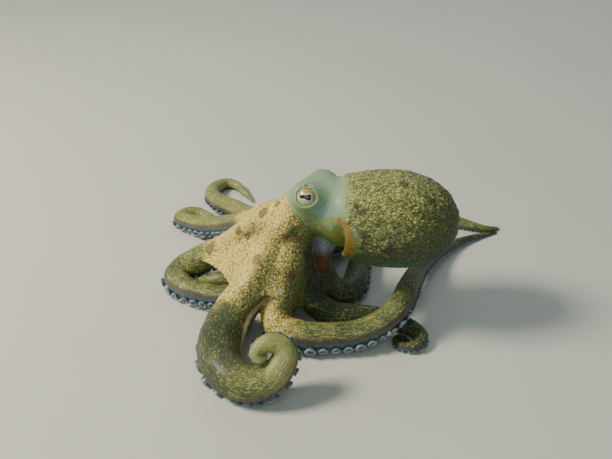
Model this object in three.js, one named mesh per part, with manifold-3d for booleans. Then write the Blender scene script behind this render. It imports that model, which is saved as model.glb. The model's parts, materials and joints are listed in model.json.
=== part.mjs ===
// A common octopus resting on its arms, life size, in millimetres, +Z up, on a floor at z = 0.
// The head looks towards -X, and the animal's left side faces -Y. Every arm is a round tapering
// sweep along a curve, the web hangs between neighbouring arms, and the mantle is a turned sac.
import * as THREE from "three";
import { mergeVertices } from "three/addons/utils/BufferGeometryUtils.js";
import Module from "manifold-3d";

const wasm = await Module();
wasm.setup();

// ---------------------------------------------------------------- sizes
const GAP = 0.3; // clearance between neighbouring pieces
const MIDDLE = new THREE.Vector3(31.4, 51.7, 0); // middle of the spread arms, which goes to the origin
const UP = new THREE.Vector3(0, 0, 1);
const SIDES = { mantle: 20, neck: 14, crown: 16, funnel: 12, head: 12, eye: 10 }; // faces round a body
const ROWS = { head: 7, mound: 6, eye: 7 }; // rows of faces on a ball
const vec = (list) => new THREE.Vector3(...list);

const MANTLE = {
  front: [31, -5, 96], // middle of the opening
  tip: [126.5, -6, 90.5], // hind end
  halfWidth: 41,
  halfHeight: 40.5,
  widestAt: 0.42, // share of the length
  frontShare: 0.83, // radius of the opening as a share of the widest
  roundness: 2.15, // exponent of the hind end
  slitDepth: 15, // how far the slit behind the lower lip goes in
  lip: 4.5, // wall of the lip
  slitTop: 92, // the slit is open below this height
};
const HEAD = { centre: [9, 4, 103], radii: [25, 20.5, 22] };
const EYE_MOUNDS = [[4, -7.5, 112.5], [13.6, 16, 111.5]];
const EYE_MOUND_RADII = [16, 14, 14];
const EYES = { eye_left: [1.2, -11, 117], eye_right: [14.4, 20.6, 114.4] };
const EYE_RADIUS = 9.6;
const HEAD_FORWARD = vec([-0.92, 0.38, 0]).normalize(); // where the head looks
const HEAD_ACROSS = vec([0.383, 0.921, -0.07]).normalize(); // from its left eye to its right eye

// Spindles: round bodies along a path, with a radius at each of its points.
const NECK = {
  path: [[0, 4, 103], [10, 3, 102], [23, 1, 99.5], [34, -3, 97], [46, -5, 96], [54, -5, 96]],
  radii: [8, 19, 25, 28, 26, 12],
};
const CROWN = {
  path: [[9, 4, 107], [4, 4, 98], [-6, 5, 88], [-14, 5, 76], [-18, 5, 64], [-19, 5, 53], [-19, 5, 48]],
  radii: [6, 17, 22, 24, 22, 14, 6],
};
const FUNNEL = {
  path: [[25, -6, 84], [18, -7, 76], [14.5, -7, 66], [13.8, -7.5, 56], [14, -8, 46.5]],
  radii: [10, 10, 8.6, 7, 5.8],
  bore: 3.8,
  boreDepth: 12,
};

// Arms. way: points [x, y, lift], lift being the height above lying flat on the floor.
// girth: radius r(s) = base (1 - (s / length)^fall)^end + TIP_RADIUS at arc length s.
// lean: how far the suckers turn to the right of travel, in degrees. pieces: where it is divided.
// root: an arm's own slim start, in place of ROOT. back: where its back faces, in place of up.
const ARMS = {
  left1: {
    way: [[-25, 10, 79], [-38, 17, 64], [-55, 26, 44], [-76, 34, 26], [-98, 40, 12],
      [-113, 40, 3], [-119, 28, 0], [-108, 12, 0], [-91, 3, 1], [-77, -2, 3], [-63, -2, 7],
      [-54, 5, 9], [-54, 14, 10], [-62, 19, 10], [-72, 19, 10], [-82, 20, 9], [-91, 22, 7],
      [-97, 27, 3], [-93, 33, 1], [-83, 35, 1], [-73, 33, 1]],
    girth: { base: 12.7, fall: 2.3, end: 0.72 },
    lean: 35,
    pieces: [62, 112, 150, 205],
  },
  left2: {
    way: [[-19, -12, 72], [-28, -14, 52], [-37, -19, 36], [-46, -26, 22], [-54, -33, 12],
      [-61, -42, 5], [-66, -54, 1], [-69, -68, 0], [-69, -84, 0], [-64, -100, 0],
      [-53, -113, 0], [-39, -118, 2], [-26, -117, 8], [-18, -112, 17], [-15, -107, 26],
      [-20, -104, 34], [-28, -105, 38], [-35, -108, 37], [-38, -112, 35], [-35, -115, 33],
      [-31, -113, 34], [-30, -109, 35]],
    girth: { base: 18.4, fall: 3, end: 0.85 },
    root: { share: 0.15, reach: 110 }, // slim where the web wraps it, thickest once it is free
    lean: 28,
    back: [-0.1, -0.65, 0.75], // this one's back turns to its left side as it coils up
    pieces: [70, 118, 160, 200],
  },
  left3: {
    way: [[-8, -14, 60], [-13, -20, 41], [-18, -27, 23], [-24, -36, 9], [-21, -49, 1],
      [-3, -57, 0], [20, -58, 0], [43, -55, 2], [63, -49, 9], [78, -38, 19], [89, -10, 19],
      [102, 28, 11], [123, 67, 4], [149, 97, 1], [174, 114, 0], [199, 126, 0]],
    girth: { base: 13.9, fall: 1.3, end: 0.74 },
    lean: 28,
    pieces: [58, 112, 180, 240, 310],
  },
  left4: {
    way: [[-4, -6, 51], [-3, -11, 34], [2, -16, 18], [11, -21, 6], [26, -24, 0],
      [45, -25, 0], [63, -27, 0], [78, -33, 0], [90, -40, 0], [96, -50, 0], [92, -60, 0],
      [81, -61, 0], [75, -53, 0], [79, -47, 0], [85, -50, 0], [85, -54, 0]],
    girth: { base: 11.8, fall: 1.4, end: 0.75 },
    lean: -30,
    pieces: [50, 95, 140, 175],
  },
  right4: {
    way: [[2, 8, 53], [8, 8, 35], [14, 5, 18], [23, 2, 6], [34, 4, 1], [43, 16, 0],
      [47, 32, 0], [50, 50, 0], [55, 70, 0], [66, 85, 0], [82, 89, 0], [92, 79, 0],
      [87, 68, 0], [77, 68, 0], [76, 74, 0], [80, 77, 0], [83, 74, 0]],
    girth: { base: 12.3, fall: 2, end: 0.8 },
    lean: 30,
    pieces: [50, 92, 135, 180],
  },
  right3: {
    way: [[-2, 22, 54], [8, 38, 36], [17, 60, 18], [31, 87, 4], [53, 114, 0], [83, 137, 0],
      [115, 147, 0], [145, 144, 0], [169, 134, 0], [186, 129, 0], [202, 133, 0]],
    girth: { base: 12.4, fall: 1.8, end: 0.62 },
    lean: 0,
    pieces: [60, 120, 190],
  },
  right2: {
    way: [[-12, 26, 65], [-16, 50, 47], [-21, 80, 28], [-36, 110, 12], [-58, 132, 5],
      [-77, 158, 1], [-94, 176, 0], [-104, 195, 0], [-102, 214, 0], [-91, 227, 0],
      [-79, 223, 0], [-68, 207, 0], [-57, 189, 0]],
    girth: { base: 12.1, fall: 2.7, end: 0.93 },
    lean: -15,
    pieces: [66, 140, 210],
  },
  right1: {
    way: [[-24, 20, 75], [-35, 39, 57], [-48, 65, 37], [-64, 91, 19], [-84, 108, 8],
      [-103, 120, 2], [-118, 130, 0], [-130, 140, 0], [-128, 150, 0], [-118, 155, 0],
      [-107, 150, 0], [-94, 141, 0], [-81, 133, 0], [-72, 128, 0], [-66, 121, 0]],
    girth: { base: 12.7, fall: 2.4, end: 0.88 },
    lean: -32,
    pieces: [62, 120, 175, 225],
  },
};
const TIP_RADIUS = 1;
const ROOT = { share: 0.5, reach: 20 }; // an arm starts this slim inside the crown
const HUB = vec([-14, 5, 66]); // the arms' backs face away from here near the crown
const BACK_TURNS = [25, 95]; // between these arc lengths the back turns from the hub to the sky
const LEANS = [30, 100]; // and the lean comes in between these
const SECTION = { above: 0.94, below: 0.96 }; // height of a section as a share of its half width
const PRESSED = 0.7; // how far a lying arm is flattened by the floor
const RING_TURN = THREE.MathUtils.degToRad(24); // most an arm may turn between two rings
const RING_STEP = [3.5, 18]; // least and most distance between two rings

// The web: [arm, arm, reach along each, arch of the free edge as a share of the reach].
const WEBS = [
  ["left1", "left2", 106, 80, 0.13],
  ["left2", "left3", 100, 48, 0.25],
  ["left3", "left4", 62, 52, 0.1],
  ["left4", "right4", 34, 34, 0.2],
  ["right4", "right3", 46, 50, 0.25],
  ["right3", "right2", 62, 66, 0.28],
  ["right2", "right1", 72, 72, 0.28],
  ["right1", "left1", 72, 72, 0.22],
];
const WEB = { rootThick: 15, edgeThick: 3, rows: 6, columns: 4, height: 0.8 };

// ---------------------------------------------------------------- solids
/** A three.js geometry as a manifold solid. */
function toSolid(geometry) {
  const bare = new THREE.BufferGeometry();
  bare.setAttribute("position", geometry.getAttribute("position"));
  bare.setIndex(geometry.index);
  const merged = mergeVertices(bare, 1e-4);
  const corners = new Uint32Array(merged.index.array);
  const mesh = new wasm.Mesh({
    numProp: 3,
    vertProperties: new Float32Array(merged.getAttribute("position").array),
    triVerts: corners,
  });
  const made = new wasm.Manifold(mesh);
  if (made.volume() > 0) return made;
  for (let i = 0; i < corners.length; i += 3) {
    [corners[i], corners[i + 1]] = [corners[i + 1], corners[i]];
  }
  return new wasm.Manifold(new wasm.Mesh({ ...mesh, numProp: 3, triVerts: corners }));
}

/** Rings of equal count joined into a closed skin with flat ends. */
function loft(rings) {
  const sides = rings[0].length;
  const faces = [];
  for (let i = 0; i + 1 < rings.length; i++) {
    for (let j = 0; j < sides; j++) {
      const a = i * sides + j;
      const b = i * sides + ((j + 1) % sides);
      faces.push(a, b, b + sides, a, b + sides, a + sides);
    }
  }
  const last = (rings.length - 1) * sides;
  for (let j = 1; j + 1 < sides; j++) {
    faces.push(0, j + 1, j, last, last + j, last + j + 1);
  }
  const geometry = new THREE.BufferGeometry().setFromPoints(rings.flat());
  geometry.setIndex(faces);
  return toSolid(geometry);
}

/** A ring of points round c, spanned by the vectors u and v. */
function ring(c, u, v, sides) {
  return Array.from({ length: sides }, (_, j) => {
    const angle = (2 * Math.PI * (j + 0.5)) / sides;
    return c.clone().addScaledVector(u, Math.cos(angle)).addScaledVector(v, Math.sin(angle));
  });
}

/** A round body along a path, with a radius at each point. */
function spindle({ path, radii }, sides, grow = 0) {
  const points = path.map(vec);
  const rings = points.map((c, i) => {
    const next = points[Math.min(i + 1, points.length - 1)];
    const along = next.clone().sub(points[Math.max(i - 1, 0)]).normalize();
    const u = along.clone().cross(HEAD_ACROSS).normalize();
    const v = u.clone().cross(along);
    const r = radii[i] + grow;
    return ring(c, u.multiplyScalar(r), v.multiplyScalar(r), sides);
  });
  return loft(rings);
}

/** An ellipsoid turned with the head: radii forward, up and across. */
function headEllipsoid(centre, radii, sides, rows, grow = 0) {
  const [forward, up, across] = radii.map((r) => r + grow);
  const lift = HEAD_FORWARD.clone().cross(HEAD_ACROSS).normalize();
  const turn = new THREE.Matrix4().makeBasis(HEAD_FORWARD, lift, HEAD_ACROSS).setPosition(vec(centre));
  return toSolid(new THREE.SphereGeometry(1, sides, rows).scale(forward, up, across).applyMatrix4(turn));
}

/** The biggest body of a cut solid, without the crumbs. */
const largest = (solid) => solid.decompose().reduce((a, b) => (a.volume() > b.volume() ? a : b));
const onFloor = (solid) => solid.trimByPlane([0, 0, 1], 0);
const cutBy = (solid, others) => others.reduce((left, other) => left.subtract(other), solid);

// ---------------------------------------------------------------- arms
const fullRadius = (arm, s) =>
  arm.girth.base * (1 - Math.min(1, s / arm.length) ** arm.girth.fall) ** arm.girth.end + TIP_RADIUS;

/** Radius at arc length s, slimmer where the arm starts inside the crown. */
function radiusAt(arm, s) {
  const { share, reach } = arm.root ?? ROOT;
  const grown = Math.sin((Math.PI / 2) * Math.min(1, s / reach));
  return fullRadius(arm, s) * THREE.MathUtils.lerp(share, 1, grown);
}

for (const arm of Object.values(ARMS)) {
  const curve = new THREE.CatmullRomCurve3(arm.way.map(vec), false, "centripetal");
  arm.length = Math.round(curve.getLength());
  arm.line = curve.getSpacedPoints(arm.length); // one point per millimetre
  arm.line.forEach((point, s) => {
    const r = fullRadius(arm, s);
    point.z += SECTION.below * r - PRESSED * Math.min(1, r / 4);
  });
}

/** Middle, direction, right side, back and radius of an arm at arc length s. */
function frameAt(arm, s) {
  const i = Math.min(arm.length, Math.max(0, Math.round(s)));
  const middle = arm.line[i];
  const along = arm.line[Math.min(arm.length, i + 2)].clone().sub(arm.line[Math.max(0, i - 2)]).normalize();
  const away = middle.clone().sub(HUB).normalize().addScaledVector(UP, 0.3);
  const back = away.lerp(vec(arm.back ?? [0, 0, 1]), THREE.MathUtils.smoothstep(s, ...BACK_TURNS));
  back.addScaledVector(along, -back.dot(along)).normalize();
  back.applyAxisAngle(along, -THREE.MathUtils.degToRad(arm.lean) * THREE.MathUtils.smoothstep(s, ...LEANS));
  const side = along.clone().cross(back);
  return { middle, along, side, back, radius: radiusAt(arm, s) };
}

/** The stretch of an arm between two arc lengths, its ends drawn in by what is asked. */
function armPiece(arm, from, to, { grow = 0, startIn = 0, endIn = 0 } = {}) {
  const sides = from === 0 || radiusAt(arm, from) > 10.5 ? 9 : radiusAt(arm, from) > 6.5 ? 8 : 6;
  const outward = Math.cos(Math.PI / sides) ** -0.6; // keeps the many-sided section as thick as a round one
  const rings = [];
  let s = from;
  for (;;) {
    const { middle, along, side, back, radius } = frameAt(arm, s);
    const c = middle.clone().addScaledVector(along, s === from ? startIn : s === to ? -endIn : 0);
    const r = (radius + grow) * outward;
    rings.push(Array.from({ length: sides }, (_, j) => {
      const angle = (2 * Math.PI * (j + 0.5)) / sides;
      const tall = Math.sin(angle) > 0 ? SECTION.above : SECTION.below;
      const upward = r * tall * Math.sin(angle);
      return c.clone().addScaledVector(side, r * Math.cos(angle)).addScaledVector(back, upward);
    }));
    if (s === to) return loft(rings);
    let step = RING_STEP[0];
    const widest = s < ROOT.reach ? 7 : RING_STEP[1];
    while (step < widest && frameAt(arm, s + step + 1).along.angleTo(along) < RING_TURN) step++;
    s = to - s < step * 1.3 ? to : s + Math.round(step);
  }
}

// ---------------------------------------------------------------- web
/** A curved sheet between two neighbouring arms, thinning towards its arched free edge. */
function webSheet([nameA, nameB, reachA, reachB, arch]) {
  const { rows, columns } = WEB;
  const onArm = (name, s) => {
    const { middle, back, radius } = frameAt(ARMS[name], s);
    return middle.clone().addScaledVector(back, WEB.height * radius);
  };
  const at = (i, j) => {
    const across = j / columns;
    const out = (i / rows) * (1 - arch * 4 * across * (1 - across));
    return onArm(nameA, out * reachA).lerp(onArm(nameB, out * reachB), across);
  };
  const top = [];
  const below = [];
  for (let i = 0; i <= rows; i++) {
    for (let j = 0; j <= columns; j++) {
      const down = at(Math.min(i + 1, rows), j).sub(at(Math.max(i - 1, 0), j));
      const over = at(i, Math.min(j + 1, columns)).sub(at(i, Math.max(j - 1, 0)));
      const inward = down.cross(over).normalize();
      if (inward.dot(frameAt(ARMS[nameA], (i / rows) * reachA).back) > 0) inward.negate();
      const thinned = THREE.MathUtils.smoothstep(i / rows, 0, 0.9);
      const thick = THREE.MathUtils.lerp(WEB.rootThick, WEB.edgeThick, thinned);
      top.push(at(i, j));
      below.push(at(i, j).addScaledVector(inward, thick));
    }
  }
  const id = (i, j) => i * (columns + 1) + j;
  const n = top.length;
  const faces = [];
  for (let i = 0; i < rows; i++) {
    for (let j = 0; j < columns; j++) {
      const [a, b, c, d] = [id(i, j), id(i, j + 1), id(i + 1, j + 1), id(i + 1, j)];
      faces.push(a, b, c, a, c, d, a + n, c + n, b + n, a + n, d + n, c + n);
    }
  }
  const rim = [];
  for (let j = 0; j < columns; j++) rim.push(id(0, j));
  for (let i = 0; i < rows; i++) rim.push(id(i, columns));
  for (let j = columns; j > 0; j--) rim.push(id(rows, j));
  for (let i = rows; i > 0; i--) rim.push(id(i, 0));
  rim.forEach((a, k) => {
    const b = rim[(k + 1) % rim.length];
    faces.push(b, a, a + n, b, a + n, b + n);
  });
  const geometry = new THREE.BufferGeometry().setFromPoints([...top, ...below]);
  geometry.setIndex(faces);
  return toSolid(geometry);
}

// ---------------------------------------------------------------- mantle
/** A body turned about the mantle's axis from [radius, distance from the front] pairs. */
function turned(profile, sides) {
  const axis = vec(MANTLE.tip).sub(vec(MANTLE.front)).normalize();
  const side = axis.clone().cross(UP).normalize();
  const up = side.clone().cross(axis);
  const place = new THREE.Matrix4().makeBasis(side, axis, up).setPosition(vec(MANTLE.front));
  const shape = new THREE.LatheGeometry(profile.map(([r, d]) => new THREE.Vector2(r, d)), sides);
  return toSolid(shape.scale(MANTLE.halfWidth, 1, MANTLE.halfHeight).applyMatrix4(place));
}

/** Radius of the sac at a share of its length, the widest being 1. */
function sacRadius(share) {
  const { widestAt, frontShare, roundness } = MANTLE;
  if (share < widestAt) return 1 - (1 - frontShare) * ((widestAt - share) / widestAt) ** 2;
  return Math.sqrt(Math.max(0, 1 - ((share - widestAt) / (1 - widestAt)) ** roundness));
}

function makeMantle() {
  const length = vec(MANTLE.tip).distanceTo(vec(MANTLE.front));
  const rings = 11;
  const outline = [[0, 0]];
  for (let i = 0; i < rings; i++) {
    const share = Math.sin((i / rings) * (Math.PI / 2));
    outline.push([sacRadius(share), share * length]);
  }
  outline.push([0, length]);
  const wall = MANTLE.lip / MANTLE.halfHeight;
  const { slitDepth } = MANTLE;
  const inner = sacRadius(slitDepth / length) - wall;
  const opening = sacRadius(0) - wall;
  const slit = turned([[0, -1], [opening, -1], [inner, slitDepth], [0, slitDepth]], SIDES.mantle);
  const lowerSlit = slit.trimByPlane([0, 0, -1], -MANTLE.slitTop);
  const neckRoom = spindle(NECK, SIDES.neck, GAP);
  return cutBy(turned(outline, SIDES.mantle), [lowerSlit, neckRoom, funnelRoom]);
}

// ---------------------------------------------------------------- the pieces
const armNames = Object.keys(ARMS);
const crownRoom = spindle(CROWN, SIDES.crown, GAP);
const funnelRoom = spindle(FUNNEL, SIDES.funnel, GAP);
const eyeBall = (centre, grow = 0) =>
  headEllipsoid(centre, [EYE_RADIUS, EYE_RADIUS, EYE_RADIUS], SIDES.eye, ROWS.eye, grow);
const eyeRooms = Object.values(EYES).map((centre) => eyeBall(centre, GAP));
const armRooms = Object.fromEntries(armNames.map((name) => {
  const [first, second] = ARMS[name].pieces;
  const root = armPiece(ARMS[name], 0, first, { grow: GAP, endIn: -1 });
  return [name, root.add(armPiece(ARMS[name], first, second, { grow: GAP }))];
}));
const allArmRooms = Object.values(armRooms);

const octopus = new THREE.Group();
octopus.position.copy(MIDDLE).negate();

const FLESH = {
  arm: { color: 0x8d8763, roughness: 0.5 },
  web: { color: 0x857c55, roughness: 0.55 },
  crown: { color: 0x9a8a60, roughness: 0.6 },
  head: { color: 0x96916a, roughness: 0.45 },
  mantle: { color: 0x7d6a4c, roughness: 0.6 },
  funnel: { color: 0xb7a98f, roughness: 0.4 },
  eye: { color: 0xd08a30, roughness: 0.15 },
};

/** Puts a finished solid into the animal as a named mesh. */
function place(name, solid) {
  const mesh = solid.getMesh();
  const geometry = new THREE.BufferGeometry();
  geometry.setAttribute("position", new THREE.BufferAttribute(new Float32Array(mesh.vertProperties), 3));
  geometry.setIndex(new THREE.BufferAttribute(new Uint32Array(mesh.triVerts), 1));
  geometry.computeVertexNormals();
  const node = new THREE.Mesh(geometry, new THREE.MeshStandardMaterial(FLESH[name.split("_")[0]]));
  node.name = name;
  octopus.add(node);
}

armNames.forEach((name, order) => {
  const arm = ARMS[name];
  const marks = [0, ...arm.pieces, arm.length];
  for (let i = 0; i + 1 < marks.length; i++) {
    const isRoot = i === 0;
    const isTip = i + 2 === marks.length;
    const piece = armPiece(arm, marks[i], marks[i + 1], {
      startIn: isRoot ? 0 : GAP / 2,
      endIn: isTip ? 0 : GAP / 2,
    });
    const earlier = armNames.slice(0, order).map((other) => armRooms[other]);
    const fitted = isRoot ? cutBy(piece, [crownRoom, ...earlier]) : piece;
    place(`arm_${name}_${i + 1}`, largest(onFloor(fitted)));
  }
});

for (const web of WEBS) {
  const rooms = [crownRoom, funnelRoom, ...allArmRooms];
  place(`web_${web[0]}_${web[1]}`, largest(onFloor(cutBy(webSheet(web), rooms))));
}

const skull = headEllipsoid(HEAD.centre, HEAD.radii, SIDES.head, ROWS.head)
  .add(spindle(NECK, SIDES.neck))
  .add(headEllipsoid(EYE_MOUNDS[0], EYE_MOUND_RADII, SIDES.eye, ROWS.mound))
  .add(headEllipsoid(EYE_MOUNDS[1], EYE_MOUND_RADII, SIDES.eye, ROWS.mound));
place("head", largest(cutBy(skull, [crownRoom, funnelRoom, ...eyeRooms, ...allArmRooms])));
for (const [name, centre] of Object.entries(EYES)) place(name, eyeBall(centre));
place("crown", largest(cutBy(spindle(CROWN, SIDES.crown), eyeRooms)));
place("mantle", largest(makeMantle()));

const [beforeTip, funnelTip] = FUNNEL.path.slice(-2).map(vec);
const inTube = beforeTip.sub(funnelTip).normalize();
const bore = new THREE.CylinderGeometry(FUNNEL.bore, FUNNEL.bore, 2 * FUNNEL.boreDepth, 10)
  .applyQuaternion(new THREE.Quaternion().setFromUnitVectors(new THREE.Vector3(0, 1, 0), inTube))
  .translate(funnelTip.x, funnelTip.y, funnelTip.z);
const tube = spindle(FUNNEL, SIDES.funnel);
place("funnel", largest(cutBy(tube, [crownRoom, toSolid(bore), ...allArmRooms])));

const whole = new THREE.Group();
whole.add(octopus);
export default whole;
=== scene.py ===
"""The looks of a life-size octopus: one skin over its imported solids, suckers, eyes and a studio."""

import json
import logging
import math
from dataclasses import dataclass, field
from typing import Any, Callable

import bpy
import numpy as np
import openvdb
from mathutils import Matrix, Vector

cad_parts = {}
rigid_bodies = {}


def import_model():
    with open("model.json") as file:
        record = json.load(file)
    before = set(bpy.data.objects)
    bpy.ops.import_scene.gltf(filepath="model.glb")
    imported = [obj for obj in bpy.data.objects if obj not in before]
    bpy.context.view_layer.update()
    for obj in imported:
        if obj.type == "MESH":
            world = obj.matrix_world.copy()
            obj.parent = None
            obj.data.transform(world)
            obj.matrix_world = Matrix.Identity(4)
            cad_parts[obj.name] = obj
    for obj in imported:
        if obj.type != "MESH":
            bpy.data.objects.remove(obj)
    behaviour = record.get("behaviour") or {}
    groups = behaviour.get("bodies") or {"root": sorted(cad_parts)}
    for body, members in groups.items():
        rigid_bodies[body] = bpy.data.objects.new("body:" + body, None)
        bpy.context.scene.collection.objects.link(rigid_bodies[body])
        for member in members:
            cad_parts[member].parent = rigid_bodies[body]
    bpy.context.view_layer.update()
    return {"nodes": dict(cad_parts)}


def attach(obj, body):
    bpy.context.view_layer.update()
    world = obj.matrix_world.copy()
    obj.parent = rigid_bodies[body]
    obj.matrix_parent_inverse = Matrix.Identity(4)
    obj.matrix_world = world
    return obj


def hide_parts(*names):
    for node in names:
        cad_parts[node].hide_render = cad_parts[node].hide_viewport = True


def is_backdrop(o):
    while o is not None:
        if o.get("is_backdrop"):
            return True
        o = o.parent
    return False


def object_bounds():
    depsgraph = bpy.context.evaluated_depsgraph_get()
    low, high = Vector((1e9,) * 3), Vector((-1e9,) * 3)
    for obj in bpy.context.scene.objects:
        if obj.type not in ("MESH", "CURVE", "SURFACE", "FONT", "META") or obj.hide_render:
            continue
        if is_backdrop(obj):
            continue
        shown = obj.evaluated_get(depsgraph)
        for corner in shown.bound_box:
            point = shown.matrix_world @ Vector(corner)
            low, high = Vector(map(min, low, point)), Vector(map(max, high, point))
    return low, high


LOG = logging.getLogger("octopus")
Array = np.ndarray

MILLIMETRE = 0.001
MIDDLE = np.array([31.4, 51.7, 0.0])  # taken from every place below, so that it is the origin
HUB = np.array([-14.0, 5.0, 66.0])  # the arms' backs face away from here near the crown
FAR = 25.0  # distance given to what no shape has reached, in millimetres
BACK_PRESS, BELLY_PRESS = 0.96, 0.76  # an arm's half heights, as shares of its half width


def unit(vectors: Array) -> Array:
    """Vectors scaled to length 1 along the last axis."""
    return vectors / np.maximum(np.linalg.norm(vectors, axis=-1, keepdims=True), 1e-9)


def smooth(low: float, high: float, x: Array | float) -> Array:
    """Smoothstep: 0 up to low, 1 from high, with 3t^2 - 2t^3 between; low may be above high."""
    t = np.clip((x - low) / (high - low), 0.0, 1.0)
    return t * t * (3.0 - 2.0 * t)


class Noise:
    """Repeatable noise on points in millimetres, from a hash of whole-number lattice corners."""

    def __init__(self, seed: int) -> None:
        """Keeps the seed."""
        self.seed = seed

    def _hash(self, corner: Array, salt: int) -> Array:
        """A number from 0 to 1 for each lattice corner.

        Args:
            corner: whole numbers, with x, y and z along the last axis.
            salt: picks one of several independent numbers.
        """
        c = corner.astype(np.int64)
        mixed = c[..., 0] * 73856093 ^ c[..., 1] * 19349663 ^ c[..., 2] * 83492791
        mixed = (mixed ^ (self.seed * 2654435 + salt * 40503)) & 0xFFFFFFFF
        mixed = (mixed ^ (mixed >> 15)) * 2246822519 & 0xFFFFFFFF
        mixed = (mixed ^ (mixed >> 13)) * 3266489917 & 0xFFFFFFFF
        return ((mixed ^ (mixed >> 16)) & 0xFFFFFF) / float(0xFFFFFF)

    def value(self, points: Array, size: float) -> Array:
        """Smooth noise from -1 to 1: corner values blended by a smoothstep along each axis."""
        scaled = points / size
        low = np.floor(scaled)
        t = scaled - low
        t = t * t * (3.0 - 2.0 * t)
        total = np.zeros(len(points))
        for k in range(8):
            step = np.array([k & 1, k >> 1 & 1, k >> 2 & 1])
            weight = np.prod(np.where(step, t, 1.0 - t), axis=1)
            total += weight * self._hash(low + step, 0)
        return total * 2.0 - 1.0

    def cells(self, points: Array, size: float) -> tuple[Array, Array]:
        """Distances to the nearest and second nearest of one random point per cell, in cells."""
        scaled = points / size
        low = np.floor(scaled)
        first = np.full(len(points), 9.0)
        second = np.full(len(points), 9.0)
        for k in range(27):
            corner = low + np.array([k % 3 - 1, k // 3 % 3 - 1, k // 9 - 1])
            seed_point = corner + np.stack([self._hash(corner, salt) for salt in (1, 2, 3)], axis=1)
            d = np.linalg.norm(seed_point - scaled, axis=1)
            second = np.minimum(second, np.maximum(first, d))
            first = np.minimum(first, d)
        return first, second


# ---------------------------------------------------------------- the arms' routes
@dataclass
class Arm:
    """One arm: a curve through given points that tapers to its tip.

    way holds [x, y, lift], lift being the height above lying flat on the floor. The radius at arc
    length s is base (1 - (s / length)^fall)^end + TIP. lean turns the suckers to the right.
    tones gives the colour at some arc lengths: -1 is pale, 0 olive and 1 dark green painted shade, for
    stretches sheltered under the mantle or other arms.
    """

    name: str
    way: list[list[float]]
    base: float
    fall: float
    end: float
    lean: float
    resting_back: tuple[float, float, float] = (0.0, 0.0, 1.0)
    tones: list[tuple[float, float]] = field(default_factory=lambda: [(0.0, 0.0)])
    root: tuple[float, float] = (0.5, 20.0)  # it starts this slim, and is full after this length
    TIP = 1.0
    BELOW = 0.96
    PRESSED = 0.7

    def __post_init__(self) -> None:
        """Works out the arm's middle line and its frames, one for each millimetre."""
        line = self._curve(np.array(self.way, float))
        self.length = len(line) - 1
        self.s = np.arange(self.length + 1.0)
        full = self.base * (1.0 - (self.s / self.length) ** self.fall) ** self.end + self.TIP
        line[:, 2] += self.BELOW * full - self.PRESSED * np.minimum(1.0, full / 4.0)
        share, reach = self.root
        opened = np.sin(0.5 * np.pi * np.minimum(1.0, self.s / reach))
        self.radius = full * (share + (1.0 - share) * opened)
        ahead = np.minimum(np.arange(len(line)) + 2, self.length)
        behind = np.maximum(np.arange(len(line)) - 2, 0)
        self.along = unit(line[ahead] - line[behind])
        away = unit(line - HUB) + np.array([0.0, 0.0, 0.3])
        turned = smooth(25.0, 95.0, self.s)[:, None]
        back = away * (1.0 - turned) + np.array(self.resting_back) * turned
        back = unit(back - np.sum(back * self.along, axis=1, keepdims=True) * self.along)
        side = np.cross(self.along, back)
        lean = -np.radians(self.lean) * smooth(30.0, 100.0, self.s)[:, None]
        self.back = back * np.cos(lean) + side * np.sin(lean)
        self.side = np.cross(self.along, self.back)
        self.middle = line - MIDDLE
        # tone: painted shade in dark green where above 0, paler where below 0
        self.tone = np.interp(self.s, *np.array(self.tones).T)

    @staticmethod
    def _curve(way: Array) -> Array:
        """Centripetal Catmull-Rom curve through the way's points, one point per millimetre.

        Each stretch is the cubic through two neighbours whose end slopes come from the points on
        both sides, with knots spaced by the square root of the distance between points.
        """
        ends = np.vstack([2 * way[0] - way[1], way, 2 * way[-1] - way[-2]])
        t = np.linspace(0.0, 1.0, 201)[:, None]
        points = []
        for p0, p1, p2, p3 in zip(ends, ends[1:], ends[2:], ends[3:]):
            k0, k1, k2 = (math.sqrt(np.linalg.norm(b - a)) for a, b in ((p0, p1), (p1, p2), (p2, p3)))
            m1 = ((p1 - p0) / k0 - (p2 - p0) / (k0 + k1) + (p2 - p1) / k1) * k1
            m2 = ((p2 - p1) / k1 - (p3 - p1) / (k1 + k2) + (p3 - p2) / k2) * k1
            cubic = p1 + m1 * t + (3 * (p2 - p1) - 2 * m1 - m2) * t**2 + (2 * (p1 - p2) + m1 + m2) * t**3
            points.append(cubic if len(points) == len(way) - 2 else cubic[:-1])
        fine = np.vstack(points)
        run = np.concatenate([[0.0], np.cumsum(np.linalg.norm(np.diff(fine, axis=0), axis=1))])
        marks = np.linspace(0.0, run[-1], round(run[-1]) + 1)
        return np.stack([np.interp(marks, run, fine[:, k]) for k in range(3)], axis=1)


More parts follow.
